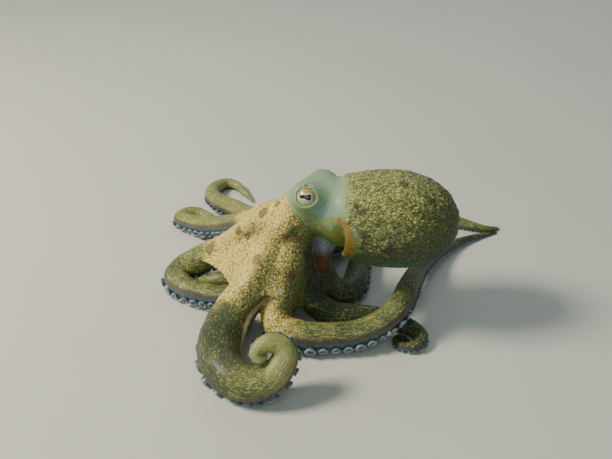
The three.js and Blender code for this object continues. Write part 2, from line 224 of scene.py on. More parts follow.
ARMS = [
    Arm("left1", [[-25, 10, 79], [-38, 17, 64], [-55, 26, 44], [-76, 34, 26], [-98, 40, 12],
        [-113, 40, 3], [-119, 28, 0], [-108, 12, 0], [-91, 3, 1], [-77, -2, 3], [-63, -2, 7],
        [-54, 5, 9], [-54, 14, 10], [-62, 19, 10], [-72, 19, 10], [-82, 20, 9], [-91, 22, 7],
        [-97, 27, 3], [-93, 33, 1], [-83, 35, 1], [-73, 33, 1]], 12.7, 2.3, 0.72, 35,
        tones=[(90, 0), (130, 0.25), (190, 0.05), (299, -0.1)]),
    Arm("left2", [[-19, -12, 72], [-28, -14, 52], [-37, -19, 36], [-46, -26, 22], [-54, -33, 12],
        [-61, -42, 5], [-66, -54, 1], [-69, -68, 0], [-69, -84, 0], [-64, -100, 0], [-53, -113, 0],
        [-39, -118, 2],
        [-26, -117, 8], [-18, -112, 17], [-15, -107, 26], [-20, -104, 34], [-28, -105, 38],
        [-35, -108, 37], [-38, -112, 35], [-35, -115, 33], [-31, -113, 34], [-30, -109, 35]],
        18.4, 3.0, 0.85, 28, (-0.1, -0.65, 0.75), root=(0.15, 110.0),
        tones=[(60, 0.1), (90, 0.5), (120, 0.9), (155, 0.8), (180, 0.2), (200, -0.6), (265, -0.8)]),
    Arm("left3", [[-8, -14, 60], [-13, -20, 41], [-18, -27, 23], [-24, -36, 9], [-21, -49, 1],
        [-3, -57, 0], [20, -58, 0], [43, -55, 2], [63, -49, 9], [78, -38, 19], [89, -10, 19],
        [102, 28, 11], [123, 67, 4], [149, 97, 1], [174, 114, 0], [199, 126, 0]],
        13.9, 1.3, 0.74, 28,
        tones=[(30, 0.4), (70, 0.0), (120, 0.0), (170, 0.2), (215, 0.9), (397, 1.0)]),
    Arm("left4", [[-4, -6, 51], [-3, -11, 34], [2, -16, 18], [11, -21, 6], [26, -24, 0],
        [45, -25, 0], [63, -27, 0], [78, -33, 0], [90, -40, 0], [96, -50, 0], [92, -60, 0],
        [81, -61, 0], [75, -53, 0], [79, -47, 0], [85, -50, 0], [85, -54, 0]],
        11.8, 1.4, 0.75, -30, tones=[(0, 1.0)]),
    Arm("right4", [[2, 8, 53], [8, 8, 35], [14, 5, 18], [23, 2, 6], [34, 4, 1], [43, 16, 0],
        [47, 32, 0], [50, 50, 0], [55, 70, 0], [66, 85, 0], [82, 89, 0], [92, 79, 0],
        [87, 68, 0], [77, 68, 0], [76, 74, 0], [80, 77, 0], [83, 74, 0]],
        12.3, 2.0, 0.8, 30, tones=[(0, 1.0), (160, 0.8)]),
    Arm("right3", [[-2, 22, 54], [8, 38, 36], [17, 60, 18], [31, 87, 4], [53, 114, 0], [83, 137, 0],
        [115, 147, 0], [145, 144, 0], [169, 134, 0], [186, 129, 0], [202, 133, 0]],
        12.4, 1.8, 0.62, 0, tones=[(0, 0.5), (200, 0.4), (280, 0.2)]),
    Arm("right2", [[-12, 26, 65], [-16, 50, 47], [-21, 80, 28], [-36, 110, 12], [-58, 132, 5],
        [-77, 158, 1], [-94, 176, 0], [-104, 195, 0], [-102, 214, 0], [-91, 227, 0],
        [-79, 223, 0], [-68, 207, 0], [-57, 189, 0]], 12.1, 2.7, 0.93, -15,
        tones=[(60, -0.2), (140, -0.5)]),
    Arm("right1", [[-24, 20, 75], [-35, 39, 57], [-48, 65, 37], [-64, 91, 19], [-84, 108, 8],
        [-103, 120, 2], [-118, 130, 0], [-130, 140, 0], [-128, 150, 0], [-118, 155, 0],
        [-107, 150, 0], [-94, 141, 0], [-81, 133, 0], [-72, 128, 0], [-66, 121, 0]],
        12.7, 2.4, 0.88, -32, tones=[(60, -0.3), (140, -0.5)]),
]  # fmt: skip
ARM_NAMED = {arm.name: arm for arm in ARMS}


# ---------------------------------------------------------------- fields
class Grid:
    """A box of evenly spaced points, with the x, y and z of its planes."""

    def __init__(self, low: Array, high: Array, step: float) -> None:
        """Spans low to high, in millimetres."""
        self.low = low
        self.step = step
        self.count = np.ceil((high - low) / step).astype(int) + 1
        self.x, self.y, self.z = (low[k] + step * np.arange(self.count[k]) for k in range(3))

    def window(self, low: Array, high: Array) -> tuple[slice, ...]:
        """The slices of the grid that hold a box."""
        first = np.maximum(np.floor((low - self.low) / self.step).astype(int), 0)
        last = np.minimum(np.ceil((high - self.low) / self.step).astype(int) + 1, self.count)
        return tuple(slice(a, max(a, b)) for a, b in zip(first, last))

    def offsets(self, window: tuple[slice, ...], centre: Array) -> tuple[Array, Array, Array]:
        """x, y and z from a centre over a window, ready to broadcast."""
        dx = (self.x[window[0]] - centre[0])[:, None, None]
        dy = (self.y[window[1]] - centre[1])[None, :, None]
        dz = (self.z[window[2]] - centre[2])[None, None, :]
        return dx, dy, dz


class Field:
    """Signed distances on a grid, below zero inside a shape."""

    def __init__(self, grid: Grid) -> None:
        """Starts empty."""
        self.grid = grid
        self.values = np.full(grid.count, FAR, np.float32)
        self.reach: list[Array] = []

    @property
    def window(self) -> tuple[slice, ...]:
        """The part of the grid that the shape reaches."""
        points = np.vstack(self.reach)
        return self.grid.window(points.min(axis=0), points.max(axis=0))

    def beads(self, centres: Array, radii: Array, margin: float = 9.0) -> "Field":
        """Adds a string of balls: the distance to a ball is |p - c| - r."""
        for centre, radius in zip(centres, radii):
            window = self.grid.window(centre - radius - margin, centre + radius + margin)
            dx, dy, dz = self.grid.offsets(window, centre)
            ball = np.sqrt(dx * dx + dy * dy + dz * dz) - radius
            self.values[window] = np.minimum(self.values[window], ball)
        size = radii[:, None] + margin
        self.reach += [centres - size, centres + size]
        return self

    def sections(self, arm: Arm, above: float, below: float, margin: float = 9.0) -> "Field":
        """Adds an arm: balls pressed along its back, by above on the back and below on the belly.

        The distance is sqrt(|p - c|^2 + y^2 (1 / press^2 - 1)) - r, y being the part along the back.
        """
        for centre, back, radius in zip(arm.middle, arm.back, arm.radius):
            window = self.grid.window(centre - radius - margin, centre + radius + margin)
            dx, dy, dz = self.grid.offsets(window, centre)
            y = dx * back[0] + dy * back[1] + dz * back[2]
            press = np.where(y > 0, above**-2 - 1.0, below**-2 - 1.0)
            ball = np.sqrt(dx * dx + dy * dy + dz * dz + y * y * press) - radius
            self.values[window] = np.minimum(self.values[window], ball)
        size = arm.radius[:, None] + margin
        self.reach += [arm.middle - size, arm.middle + size]
        return self

    def shape(self, low: Array, high: Array, distance: Callable[[Array, Array, Array], Array]) -> "Field":
        """Adds a shape given by its distance as a function of x, y and z, over a box."""
        window = self.grid.window(low, high)
        dx, dy, dz = self.grid.offsets(window, np.zeros(3))
        self.values[window] = np.minimum(self.values[window], distance(dx, dy, dz))
        self.reach += [low[None], high[None]]
        return self

    def join(self, other: "Field", blend: float | Array) -> "Field":
        """Joins another shape with a fillet: min(a, b) - k h^2 / 4, h = max(k - |a - b|, 0) / k."""
        w = other.window
        a = self.values[w]
        b = other.values[w]
        k = blend[w] if isinstance(blend, np.ndarray) else blend
        h = np.maximum(k - np.abs(a - b), 0.0) / k
        self.values[w] = np.minimum(a, b) - h * h * k * 0.25
        self.reach += other.reach
        return self

    def cut(self, other: "Field", blend: float) -> "Field":
        """Takes another shape away with a rounded edge: max(a, -b) + k h^2 / 4."""
        w = other.window
        a = self.values[w]
        b = -other.values[w]
        h = np.maximum(blend - np.abs(a - b), 0.0) / blend
        self.values[w] = np.maximum(a, b) + h * h * blend * 0.25
        return self

    def above_floor(self, blend: float) -> "Field":
        """Presses the shape flat where it would pass below the floor."""
        below = -self.grid.z[None, None, :]
        h = np.maximum(blend - np.abs(self.values - below), 0.0) / blend
        self.values = np.maximum(self.values, below) + h * h * blend * 0.25
        return self

    def surface(self) -> tuple[Array, Array]:
        """The zero surface as points in millimetres and quads."""
        band = 3.0 * self.grid.step
        vdb = openvdb.FloatGrid(band)
        vdb.copyFromArray(np.ascontiguousarray(np.clip(self.values, -band, band), np.float32))
        points, quads = vdb.convertToQuads(isovalue=0.0)
        return np.array(points, float) * self.grid.step + self.grid.low, np.array(quads, int)


# ---------------------------------------------------------------- body shapes
def local(place: list[float]) -> Array:
    """A place of the animal, as its three numbers read from the middle of the spread arms."""
    return np.array(place, float) - MIDDLE


def beads_along(path: list[list[float]], radii: list[float]) -> tuple[Array, Array]:
    """Balls a millimetre apart along a path of straight stretches, radii running evenly between."""
    points = np.array(path, float) - MIDDLE
    run = np.concatenate([[0.0], np.cumsum(np.linalg.norm(np.diff(points, axis=0), axis=1))])
    marks = np.linspace(0.0, run[-1], int(run[-1]) + 2)
    centres = np.stack([np.interp(marks, run, points[:, k]) for k in range(3)], axis=1)
    return centres, np.interp(marks, run, radii)


@dataclass
class Mantle:
    """The sac behind the head, open below the neck."""

    front: list[float] = field(default_factory=lambda: [31, -5, 96])
    tip: list[float] = field(default_factory=lambda: [126.5, -6, 90.5])
    half_width: float = 41.0
    half_height: float = 40.5
    widest_at: float = 0.42
    front_share: float = 0.83
    roundness: float = 2.15
    slit_depth: float = 15.0
    lip: float = 4.5
    slit_top: float = 92.0
    front_edge: float = 4.0
    slit_edge: float = 2.5

    def __post_init__(self) -> None:
        """Works out the sac's own axes."""
        self.length = float(np.linalg.norm(local(self.tip) - local(self.front)))
        self.axis = unit(local(self.tip) - local(self.front))
        self.side = unit(np.cross(self.axis, [0.0, 0.0, 1.0]))
        self.up = np.cross(self.side, self.axis)

    def coordinates(self, x: Array, y: Array, z: Array) -> tuple[Array, Array, Array]:
        """Sideways and upwards as shares of the half sizes, and millimetres behind the opening."""
        fx, fy, fz = local(self.front)
        along, side, up = (
            (x - fx) * v[0] + (y - fy) * v[1] + (z - fz) * v[2] for v in (self.axis, self.side, self.up)
        )
        return side / self.half_width, up / self.half_height, along

    def distance(self, x: Array, y: Array, z: Array) -> Array:
        """Distance to the closed sac: G over the length of its slope.

        Behind the widest place G = rho^2 + u^n - 1, where rho is the distance from the axis as a
        share and u runs from 0 there to 1 at the tip. Before it G = (rho / R)^2 - 1, where R
        falls by a parabola to its share at the opening.
        """
        a, b, d = self.coordinates(x, y, z)
        rho2 = a * a + b * b
        t = d / self.length
        u = np.clip((t - self.widest_at) / (1.0 - self.widest_at), 0.0, None)
        n = self.roundness
        hind = rho2 + u**n - 1.0
        run = n * u ** (n - 1) / ((1 - self.widest_at) * self.length)
        hind_slope = 4 * rho2 / self.half_width**2 + run**2
        w = np.clip((self.widest_at - t) / self.widest_at, 0.0, 1.0)
        radius = 1.0 - (1.0 - self.front_share) * w * w
        fore = rho2 / radius**2 - 1.0
        fore_slope = 4 * rho2 / (self.half_width * radius**2) ** 2
        behind = t > self.widest_at
        g = np.where(behind, hind, fore)
        slope = np.sqrt(np.where(behind, hind_slope, fore_slope)) + 1e-4
        return np.clip(g / slope, -20.0, FAR)

    def field(self, grid: Grid) -> Field:
        """The sac, its front edge rounded, hollowed behind the lower lip."""
        low, high = local([18, -60, 42]), local([140, 48, 142])

        def sac(x: Array, y: Array, z: Array) -> Array:
            edge = -self.coordinates(x, y, z)[2]
            body = self.distance(x, y, z)
            k = self.front_edge
            h = np.maximum(k - np.abs(body - edge), 0.0) / k
            return np.maximum(body, edge) + h * h * k * 0.25

        def slit(x: Array, y: Array, z: Array) -> Array:
            d = self.coordinates(x, y, z)[2]
            inner = self.distance(x, y, z) + self.lip
            return np.maximum(np.maximum(inner, d - self.slit_depth), z - self.slit_top)

        return Field(grid).shape(low, high, sac).cut(Field(grid).shape(low, high, slit), self.slit_edge)


@dataclass
class Eye:
    """One eye: a ball with a level, dumbbell-shaped pupil, looking out between its lids."""

    name: str
    centre: list[float]
    looks: list[float]
    radius: float = 9.6
    opening: tuple[float, float] = (8.2, 6.1)
    pupil_half: float = 4.3
    pupil_narrow: float = 1.3  # half the height of the pupil's front end
    pupil_wide: float = 2.3  # and of its hind end
    LID_PLANE = 0.72  # the opening is measured this far out, as a share of the radius
    HIDDEN = 20.0  # added to the marks behind the ball's middle, where no pattern belongs

    def __post_init__(self) -> None:
        """Works out the eye's axes: out of the head, forwards along the pupil, and up."""
        self.out = unit(np.array(self.looks, float))
        self.level = unit(np.cross(self.out, [0.0, 0.0, 1.0]))
        self.up = np.cross(self.level, self.out)
        self.place = local(self.centre)
        self.rear = float(np.sign(self.level[0]))  # which way along level the mantle lies

    def lids(self, grid: Grid, thick: float) -> Field:
        """The ball grown by the lids' thickness; window and room are then cut out of it."""
        reach = np.full(3, self.radius + 8.0)

        def shell(x: Array, y: Array, z: Array) -> Array:
            dx, dy, dz = x - self.place[0], y - self.place[1], z - self.place[2]
            return np.sqrt(dx * dx + dy * dy + dz * dz) - self.radius - thick

        return Field(grid).shape(self.place - reach, self.place + reach, shell)

    def window(self, grid: Grid) -> Field:
        """The opening between the lids: a cone with an elliptical section.

        Its value is 5 (q - 1) in front of the ball's middle, q = |(a / A, b / B)| where a and b
        are measured where the cone passes through the plane at LID_PLANE.
        """
        reach = np.full(3, self.radius + 10.0)

        def opening(x: Array, y: Array, z: Array) -> Array:
            dx, dy, dz = x - self.place[0], y - self.place[1], z - self.place[2]
            a, b, c = (dx * v[0] + dy * v[1] + dz * v[2] for v in (self.level, self.up, self.out))
            widen = self.radius / np.maximum(c, 0.5)
            across, upward = (v * widen * self.LID_PLANE / half for v, half in zip((a, b), self.opening))
            q = np.sqrt(across**2 + upward**2)
            return np.where(c > 0, (q - 1.0) * 5.0, FAR)

        return Field(grid).shape(self.place - reach, self.place + reach, opening)

    def room(self, grid: Grid, gap: float) -> Field:
        """The ball's own space."""
        return self.lids(grid, gap)


HEAD_FORWARD = unit(np.array([-0.92, 0.38, 0.0]))
HEAD_ACROSS = unit(np.array([0.383, 0.921, -0.07]))
HEAD_UP = unit(np.cross(HEAD_FORWARD, HEAD_ACROSS)) * -1.0


def head_ball(grid: Grid, centre: list[float], radii: tuple[float, float, float]) -> Field:
    """An ellipsoid turned with the head: q0 (q0 - 1) / q1, q0 = |p / r| and q1 = |p / r^2|."""
    middle = local(centre)

    def distance(x: Array, y: Array, z: Array) -> Array:
        dx, dy, dz = x - middle[0], y - middle[1], z - middle[2]
        parts = [dx * v[0] + dy * v[1] + dz * v[2] for v in (HEAD_FORWARD, HEAD_UP, HEAD_ACROSS)]
        q0 = np.sqrt(sum((p / r) ** 2 for p, r in zip(parts, radii)))
        q1 = np.sqrt(sum((p / r**2) ** 2 for p, r in zip(parts, radii)))
        return q0 * (q0 - 1.0) / (q1 + 1e-6)

    reach = np.full(3, max(radii) + 10.0)
    return Field(grid).shape(middle - reach, middle + reach, distance)


@dataclass
class Web:
    """The sheet of skin between two neighbouring arms, with an arched free edge."""

    first: str
    second: str
    reach_first: float
    reach_second: float
    arch: float
    root_thick: float = 15.0
    edge_thick: float = 3.0
    height: float = 0.8

    def _on_arm(self, name: str, s: Array) -> Array:
        """Points just under an arm's back."""
        arm = ARM_NAMED[name]
        line = arm.middle + self.height * arm.radius[:, None] * arm.back
        return np.stack([np.interp(s, arm.s, line[:, k]) for k in range(3)], axis=-1)

    def field(self, grid: Grid) -> Field:
        """Balls all over the sheet, whose size falls from the root to the free edge."""
        out, across = np.meshgrid(np.linspace(0.0, 1.0, 60), np.linspace(0.0, 1.0, 44), indexing="ij")
        share = out * (1.0 - self.arch * 4.0 * across * (1.0 - across))
        first = self._on_arm(self.first, share * self.reach_first)
        second = self._on_arm(self.second, share * self.reach_second)
        sheet = first + (second - first) * across[..., None]
        normal = unit(np.cross(np.gradient(sheet, axis=0), np.gradient(sheet, axis=1)))
        arm = ARM_NAMED[self.first]
        back = arm.back[np.minimum((out * self.reach_first).astype(int), arm.length)]
        normal *= -np.sign(np.sum(normal * back, axis=-1, keepdims=True))
        thick = self.root_thick + (self.edge_thick - self.root_thick) * smooth(0.0, 0.9, out)
        centres = sheet + normal * (thick[..., None] / 2.0)
        return Field(grid).beads(centres.reshape(-1, 3), (thick / 2.0).reshape(-1), margin=4.5)


WEBS = [
    Web("left1", "left2", 106, 80, 0.13),
    Web("left2", "left3", 100, 48, 0.25),
    Web("left3", "left4", 62, 52, 0.1),
    Web("left4", "right4", 34, 34, 0.2),
    Web("right4", "right3", 46, 50, 0.25),
    Web("right3", "right2", 62, 66, 0.28),
    Web("right2", "right1", 72, 72, 0.28),
    Web("right1", "left1", 72, 72, 0.22),
]
EYES = [
    Eye("eye_left", [1.2, -11, 117], [-0.2, -0.86, 0.47]),
    Eye("eye_right", [14.4, 20.6, 114.4], [0.3, 0.85, 0.43]),
]


@dataclass
class Patch:
    """A patch of colour on the skin, fading out round a place of the animal."""

    mark: str
    x: float
    y: float
    z: float
    radius: float

    def share(self, points: Array) -> Array:
        """1 well inside the patch, 0 well outside."""
        away = np.linalg.norm(points - local([self.x, self.y, self.z]), axis=1)
        return smooth(1.35 * self.radius, 0.45 * self.radius, away)


PATCHES = [
    Patch("blotch", -35, 7, 92, 5.5),
    Patch("blotch", -23, 5, 101, 4.0),
    Patch("blotch", -59, 16, 69, 5.0),
    Patch("blotch", -86, 28, 44, 7.0),
    Patch("blotch", -16, -18, 82, 5.0),
    Patch("blotch", -7, -17, 82, 4.5),
    Patch("blotch", -40, -23, 65, 5.0),
    Patch("blotch", -12, -33, 57, 4.5),
    Patch("blotch", -50, 7, 69, 3.5),
    Patch("blotch", 12, -18, 106, 2.6),
    Patch("blotch", 7, -17, 100, 3.0),
    Patch("blotch", 2, -14, 92, 3.4),
    Patch("blotch", 23, -15, 118, 1.8),
    Patch("blotch", 42, -34, 118, 6.0),
    Patch("blotch", 46, -43, 101, 6.0),
    Patch("blotch", 80, -17, 131, 8.0),
    Patch("blotch", 66, -44, 89, 7.0),
    Patch("blotch", 78, -44, 91, 6.0),
    Patch("blotch", 99, -28, 119, 7.0),
    Patch("band", 11, -19, 95, 3.6),
    Patch("band", 16, -22, 100, 4.0),
    Patch("band", 22, -25, 104, 4.2),
    Patch("band", 30, -28, 108, 4.0),
    Patch("leaf", 28, -28, 104, 4.5),
    Patch("leaf", 31, -36, 104, 5.0),
    Patch("leaf", 33, -39, 100, 5.5),
    Patch("leaf", 34, -40, 94, 5.5),
    Patch("leaf", 35, -39, 88, 5.0),
    Patch("leaf", 35, -37, 82, 4.0),
    Patch("leaf", 27, -29, 92, 6.0),
    Patch("leaf", 31, -36, 86, 5.0),
    Patch("lid", 1.2, -11, 117, 11.5),
    Patch("lid", 14.4, 20.6, 114.4, 11.5),
    Patch("leaf_core", 26, -29, 97, 5.0),
    Patch("leaf_core", 27, -29, 92, 5.0),
    Patch("leaf_core", 30, -36, 92, 4.0),
    Patch("leaf_core", 30, -36, 86, 3.5),
    # painted shade in the dark fold along the crest's right edge
    Patch("fold_shade", 2, -22, 66, 6.0),
    Patch("fold_shade", 3, -26, 56, 7.0),
    Patch("fold_shade", 6, -22, 44, 9.0),
    Patch("fold_shade", 10, -26, 33, 9.0),
    # painted shade: bluish shade behind and below the eye
    Patch("cool", 12, -20, 111, 7.0),
    Patch("cool", 19, -20, 110, 6.0),
]


# the thickened free edge of the web along the second left arm
RIM_PATH = [
    [-21, -38, 43.5], [-29.5, -37.6, 37.5], [-36.7, -37, 31.5], [-41.5, -44, 29.3],
    [-46.2, -51, 26.4], [-49, -60, 23], [-51, -69.3, 18.5], [-52, -82, 15]]  # fmt: skip
RIM_RADII = [0.8, 1.7, 2.0, 2.0, 2.0, 1.9, 1.7, 0.8]


# ---------------------------------------------------------------- the skin
@dataclass
class Skin:
    """One skin over the whole body, with the marks that its material reads."""

    mantle: Mantle = field(default_factory=Mantle)
    step: float = 1.3
    neck_fillet: float = 8.0
    brow_fillet: float = 5.0
    crown_fillet: float = 9.0
    web_fillet: float = 4.0
    rim_fillet: float = 1.0
    funnel_fillet: float = 2.5
    lid_thick: float = 0.9
    lid_fillet: float = 4.0
    lid_edge: float = 1.0
    ball_gap: float = 0.15
    floor_edge: float = 1.5
    most_triangles: int = 196_000
    noise: Noise = field(default_factory=lambda: Noise(7))
    regions: dict[str, Field] = field(default_factory=dict)

    def sculpt(self) -> Field:
        """Joins the head, crown, arms, webs, mantle, funnel and lids into one field."""
        box_low, box_high = (np.array(corner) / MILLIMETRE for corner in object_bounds())
        grid = Grid(box_low - 6.0, box_high + 6.0, self.step)
        head = head_ball(grid, [9, 4, 103], (25, 20.5, 22))
        neck_path = [[10, 3, 102], [23, 1, 99.5], [34, -3, 97], [46, -5, 96]]
        head.join(Field(grid).beads(*beads_along(neck_path, [19, 25, 28, 26])), self.neck_fillet)
        for mound in ([4, -7.5, 112.5], [13.6, 16, 111.5]):
            head.join(head_ball(grid, mound, (16, 14, 14)), self.brow_fillet)
        crown_path = [[4, 4, 98], [-6, 5, 88], [-14, 5, 76], [-18, 5, 64], [-19, 5, 56]]
        crown = Field(grid).beads(*beads_along(crown_path, [17, 22, 24, 22, 13]))
        self.regions = {"head": self._copy(head), "crown": self._copy(crown)}
        body = head.join(crown, self.crown_fillet)
        near_hub = self._near_hub(grid)
        for arm in ARMS:
            body.join(Field(grid).sections(arm, BACK_PRESS, BELLY_PRESS), near_hub)
        for web in WEBS:
            body.join(web.field(grid), self.web_fillet)
        body.join(Field(grid).beads(*beads_along(RIM_PATH, RIM_RADII)), self.rim_fillet)
        sac = self.mantle.field(grid)
        self.regions["mantle"] = self._copy(sac)
        height = np.broadcast_to(grid.z[None, None, :], grid.count)
        body.join(sac, (1.2 + 9.0 * smooth(92.0, 112.0, height)).astype(np.float32))
        funnel = self._funnel(grid)
        self.regions["funnel"] = self._copy(funnel)
        body.join(funnel, self.funnel_fillet)
        for eye in EYES:
            body.join(eye.lids(grid, self.lid_thick), self.lid_fillet)
            body.cut(eye.window(grid), self.lid_edge)
            body.cut(eye.room(grid, self.ball_gap), 2.0 * self.ball_gap)
        return body.above_floor(self.floor_edge)

    @staticmethod
    def _copy(source: Field) -> Field:
        """A field of its own with the same values."""
        made = Field(source.grid)
        made.values = source.values.copy()
        return made

    @staticmethod
    def _near_hub(grid: Grid) -> Array:
        """Fillet size: 9 mm where the arms leave the crown, falling to 1 mm further out."""
        dx, dy, dz = grid.offsets((slice(None),) * 3, HUB - MIDDLE)
        away = np.sqrt(dx * dx + dy * dy + dz * dz)
        return (1.0 + 8.0 * smooth(80.0, 40.0, away)).astype(np.float32)

    @staticmethod
    def _funnel(grid: Grid) -> Field:
        """The funnel: a bent tube with a blind bore at its open end."""
        path = [[25, -6, 84], [18, -7, 76], [14.5, -7, 66], [13.8, -7.5, 56], [14, -8, 46.5]]
        made = Field(grid).beads(*beads_along(path, [10, 10, 8.6, 7, 5.8]))
        tip = local(path[-1])
        inward = unit(local(path[-2]) - tip)
        low, high = tip - 14.0, tip + 16.0

        def beyond(x: Array, y: Array, z: Array) -> Array:
            return (x - tip[0]) * inward[0] + (y - tip[1]) * inward[1] + (z - tip[2]) * inward[2]

        bore_path = [[14, -8, 42], [14, -8, 46.5], [13.8, -7.5, 54]]
        bore = Field(grid).beads(*beads_along(bore_path, [4.6, 4.2, 2.8]))
        return made.cut(Field(grid).shape(low, high, beyond), 1.5).cut(bore, 1.0)

    def sample(self, source: Field, points: Array) -> Array:
        """A field's values at points, blended between its eight nearest grid points."""
        scaled = (points - source.grid.low) / source.grid.step
        low = np.clip(np.floor(scaled).astype(int), 0, source.grid.count - 2)
        t = np.clip(scaled - low, 0.0, 1.0)
        total = np.zeros(len(points))
        for k in range(8):
            step = np.array([k & 1, k >> 1 & 1, k >> 2 & 1])
            weight = np.prod(np.where(step, t, 1.0 - t), axis=1)
            i, j, m = (low + step).T
            total += weight * source.values[i, j, m]
        return total

    def relief(self, points: Array) -> Array:
        """How far each point stands out, in millimetres: grains on the sac and crest, soft folds."""
        sac, crest, face, _ = self.weights(points)
        first, second = self.noise.cells(points * np.array([0.8, 1.0, 1.0]), 4.2)
        grains = smooth(0.0, 0.45, second - first) - 0.5
        lumps = self.noise.value(points, 9.0) + 0.5 * self.noise.value(points, 4.5)
        folds = self.noise.value(points * np.array([0.5, 1.0, 1.6]) + 40.0, 7.0)
        bare = face * (1.0 - sac)
        rough = sac * (0.55 * grains + 0.45 * lumps) + crest * (0.4 * grains + 0.6 * lumps)
        return rough + bare * 0.25 * folds

    def weights(self, points: Array) -> tuple[Array, Array, Array, Array]:
        """Shares of the sac, the granular crest, the smooth face and the funnel at each point."""
        near = {name: np.exp(-np.abs(self.sample(f, points)) / 2.5) for name, f in self.regions.items()}
        _, _, behind = self.mantle.coordinates(*points.T)
        high = smooth(96.0, 114.0, points[:, 2])
        start = behind - 6.0 + high * 18.0 + 8.0 * (self.noise.value(points, 5.0) - 0.5)
        outer = smooth(-3.5, -1.5, self.mantle.distance(*points.T)) * smooth(-1.0, 2.0 + 10.0 * high, start)
        sac = outer * smooth(0.1, 0.5, near["mantle"] + 0.4 * high)
        neck = smooth(-26.0, -18.0, points[:, 0]) * smooth(72.0, 84.0, points[:, 2])
        face = np.maximum(smooth(0.25, 0.8, near["head"]), neck)
        for eye in EYES:
            face = np.maximum(face, smooth(16.0, 12.0, np.linalg.norm(points - eye.place, axis=1)))
        crest = smooth(0.1, 0.6, near["crown"]) * (1.0 - sac) * (1.0 - face)
        funnel = smooth(0.3, 0.8, near["funnel"]) * (1.0 - sac)
        return sac, crest, face, funnel

    def arm_marks(self, points: Array) -> dict[str, Array]:
        """Where each point lies on its nearest arm.

        run is the arc length in millimetres, round the angle from the arm's back as a share of a
        half turn, taper the arm's radius, tone the arm's painted shade (above 0) or paleness (below 0), and
        web grows with the distance from the arm's surface.
        """
        best = np.full(len(points), 1e9)
        marks = {name: np.zeros(len(points)) for name in ("run", "round", "taper", "tone")}
        for arm in ARMS:
            for part in np.array_split(np.arange(len(points)), 24):
                offset = points[part, None, :] - arm.middle[None, ::2, :]
                gap = np.sqrt(np.einsum("ijk,ijk->ij", offset, offset)) - arm.radius[None, ::2]
                nearest = np.argmin(gap, axis=1)
                distance = gap[np.arange(len(part)), nearest]
                closer = distance < best[part]
                index = nearest[closer] * 2
                rows = part[closer]
                best[rows] = distance[closer]
                d = points[rows] - arm.middle[index]
                across = np.sum(d * arm.side[index], axis=1)
                upward = np.sum(d * arm.back[index], axis=1)
                marks["run"][rows] = index + np.sum(d * arm.along[index], axis=1)
                marks["round"][rows] = np.arctan2(across, upward) / math.pi
                marks["taper"][rows] = arm.radius[index]
                marks["tone"][rows] = arm.tone[index]
        marks["web"] = smooth(0.8, 4.0, best)
        return marks

    @staticmethod
    def rim_mark(points: Array) -> Array:
        """1 on the web's thickened edge, 0 away from it."""
        centres, _ = beads_along(RIM_PATH, RIM_RADII)
        away = np.full(len(points), FAR)
        for centre in centres:
            away = np.minimum(away, np.linalg.norm(points - centre, axis=1))
        return smooth(3.6, 2.0, away)

    def build(self) -> bpy.types.Object:
        """Makes the skin's mesh and its marks."""
        points, quads = self.sculpt().surface()
        points, quads = keep_largest(points, quads)
        points = soften(points, quads, 2)
        normals = point_normals(points, quads)
        points += normals * self.relief(points)[:, None]
        points[:, 2] = np.maximum(points[:, 2], 0.0)
        skin = new_mesh("skin", points * MILLIMETRE, quads)
        thin_out(skin, self.most_triangles)
        points = read_points(skin) / MILLIMETRE
        sac, crest, face, funnel = self.weights(points)
        marks = self.arm_marks(points)
        marks.update(sac=sac, crest=crest, face=face, funnel=funnel, rim=self.rim_mark(points))
        for patch in PATCHES:
            marks[patch.mark] = np.maximum(marks.get(patch.mark, 0.0), patch.share(points))
        for name, values in marks.items():
            add_mark(skin, name, values)
        return skin


# ---------------------------------------------------------------- mesh tools
def new_mesh(name: str, points: Array, faces: Array) -> bpy.types.Object:
    """A smooth-shaded mesh object at the origin, from points in metres and equal-sided faces."""
    mesh = bpy.data.meshes.new(name)
    sides = faces.shape[1]
    mesh.vertices.add(len(points))
    mesh.vertices.foreach_set("co", points.astype(np.float32).ravel())
    mesh.loops.add(faces.size)
    mesh.loops.foreach_set("vertex_index", faces.astype(np.int32).ravel())
    mesh.polygons.add(len(faces))
    mesh.polygons.foreach_set("loop_start", np.arange(0, faces.size, sides, dtype=np.int32))
    mesh.polygons.foreach_set("use_smooth", np.ones(len(faces), bool))
    mesh.update(calc_edges=True)
    mesh.validate()
    made = bpy.data.objects.new(name, mesh)
    bpy.context.scene.collection.objects.link(made)
    return made


def add_mark(piece: bpy.types.Object, name: str, values: Array) -> None:
    """Puts one number per point on a piece, for its material to read."""
    mark = piece.data.attributes.new(name, "FLOAT", "POINT")
    mark.data.foreach_set("value", values.astype(np.float32))


def read_points(piece: bpy.types.Object) -> Array:
    """A piece's points, in metres."""
    flat = np.empty(len(piece.data.vertices) * 3, np.float32)
    piece.data.vertices.foreach_get("co", flat)
    return flat.reshape(-1, 3).astype(float)


def point_normals(points: Array, quads: Array) -> Array:
    """Normals at the points: the crossed diagonals of the quads round each, added up."""
    corners = points[quads]
    face = np.cross(corners[:, 2] - corners[:, 0], corners[:, 3] - corners[:, 1])
    total = np.zeros_like(points)
    for k in range(3):
        total[:, k] = np.bincount(quads.ravel(), np.repeat(face[:, k], 4), len(points))
    return unit(total)


def soften(points: Array, quads: Array, passes: int) -> Array:
    """Moves points to their neighbours' mean and most of the way back, which keeps the size."""
    ends = np.vstack([quads[:, [0, 1]], quads[:, [1, 2]], quads[:, [2, 3]], quads[:, [3, 0]]])
    starts, stops = np.vstack([ends, ends[:, ::-1]]).T
    count = np.maximum(np.bincount(starts, minlength=len(points)), 1)[:, None]
    for _ in range(passes):
        for share in (0.5, -0.52):
            mean = np.stack([np.bincount(starts, points[stops, k], len(points)) for k in range(3)], axis=1)
            points = points + share * (mean / count - points)
    return points


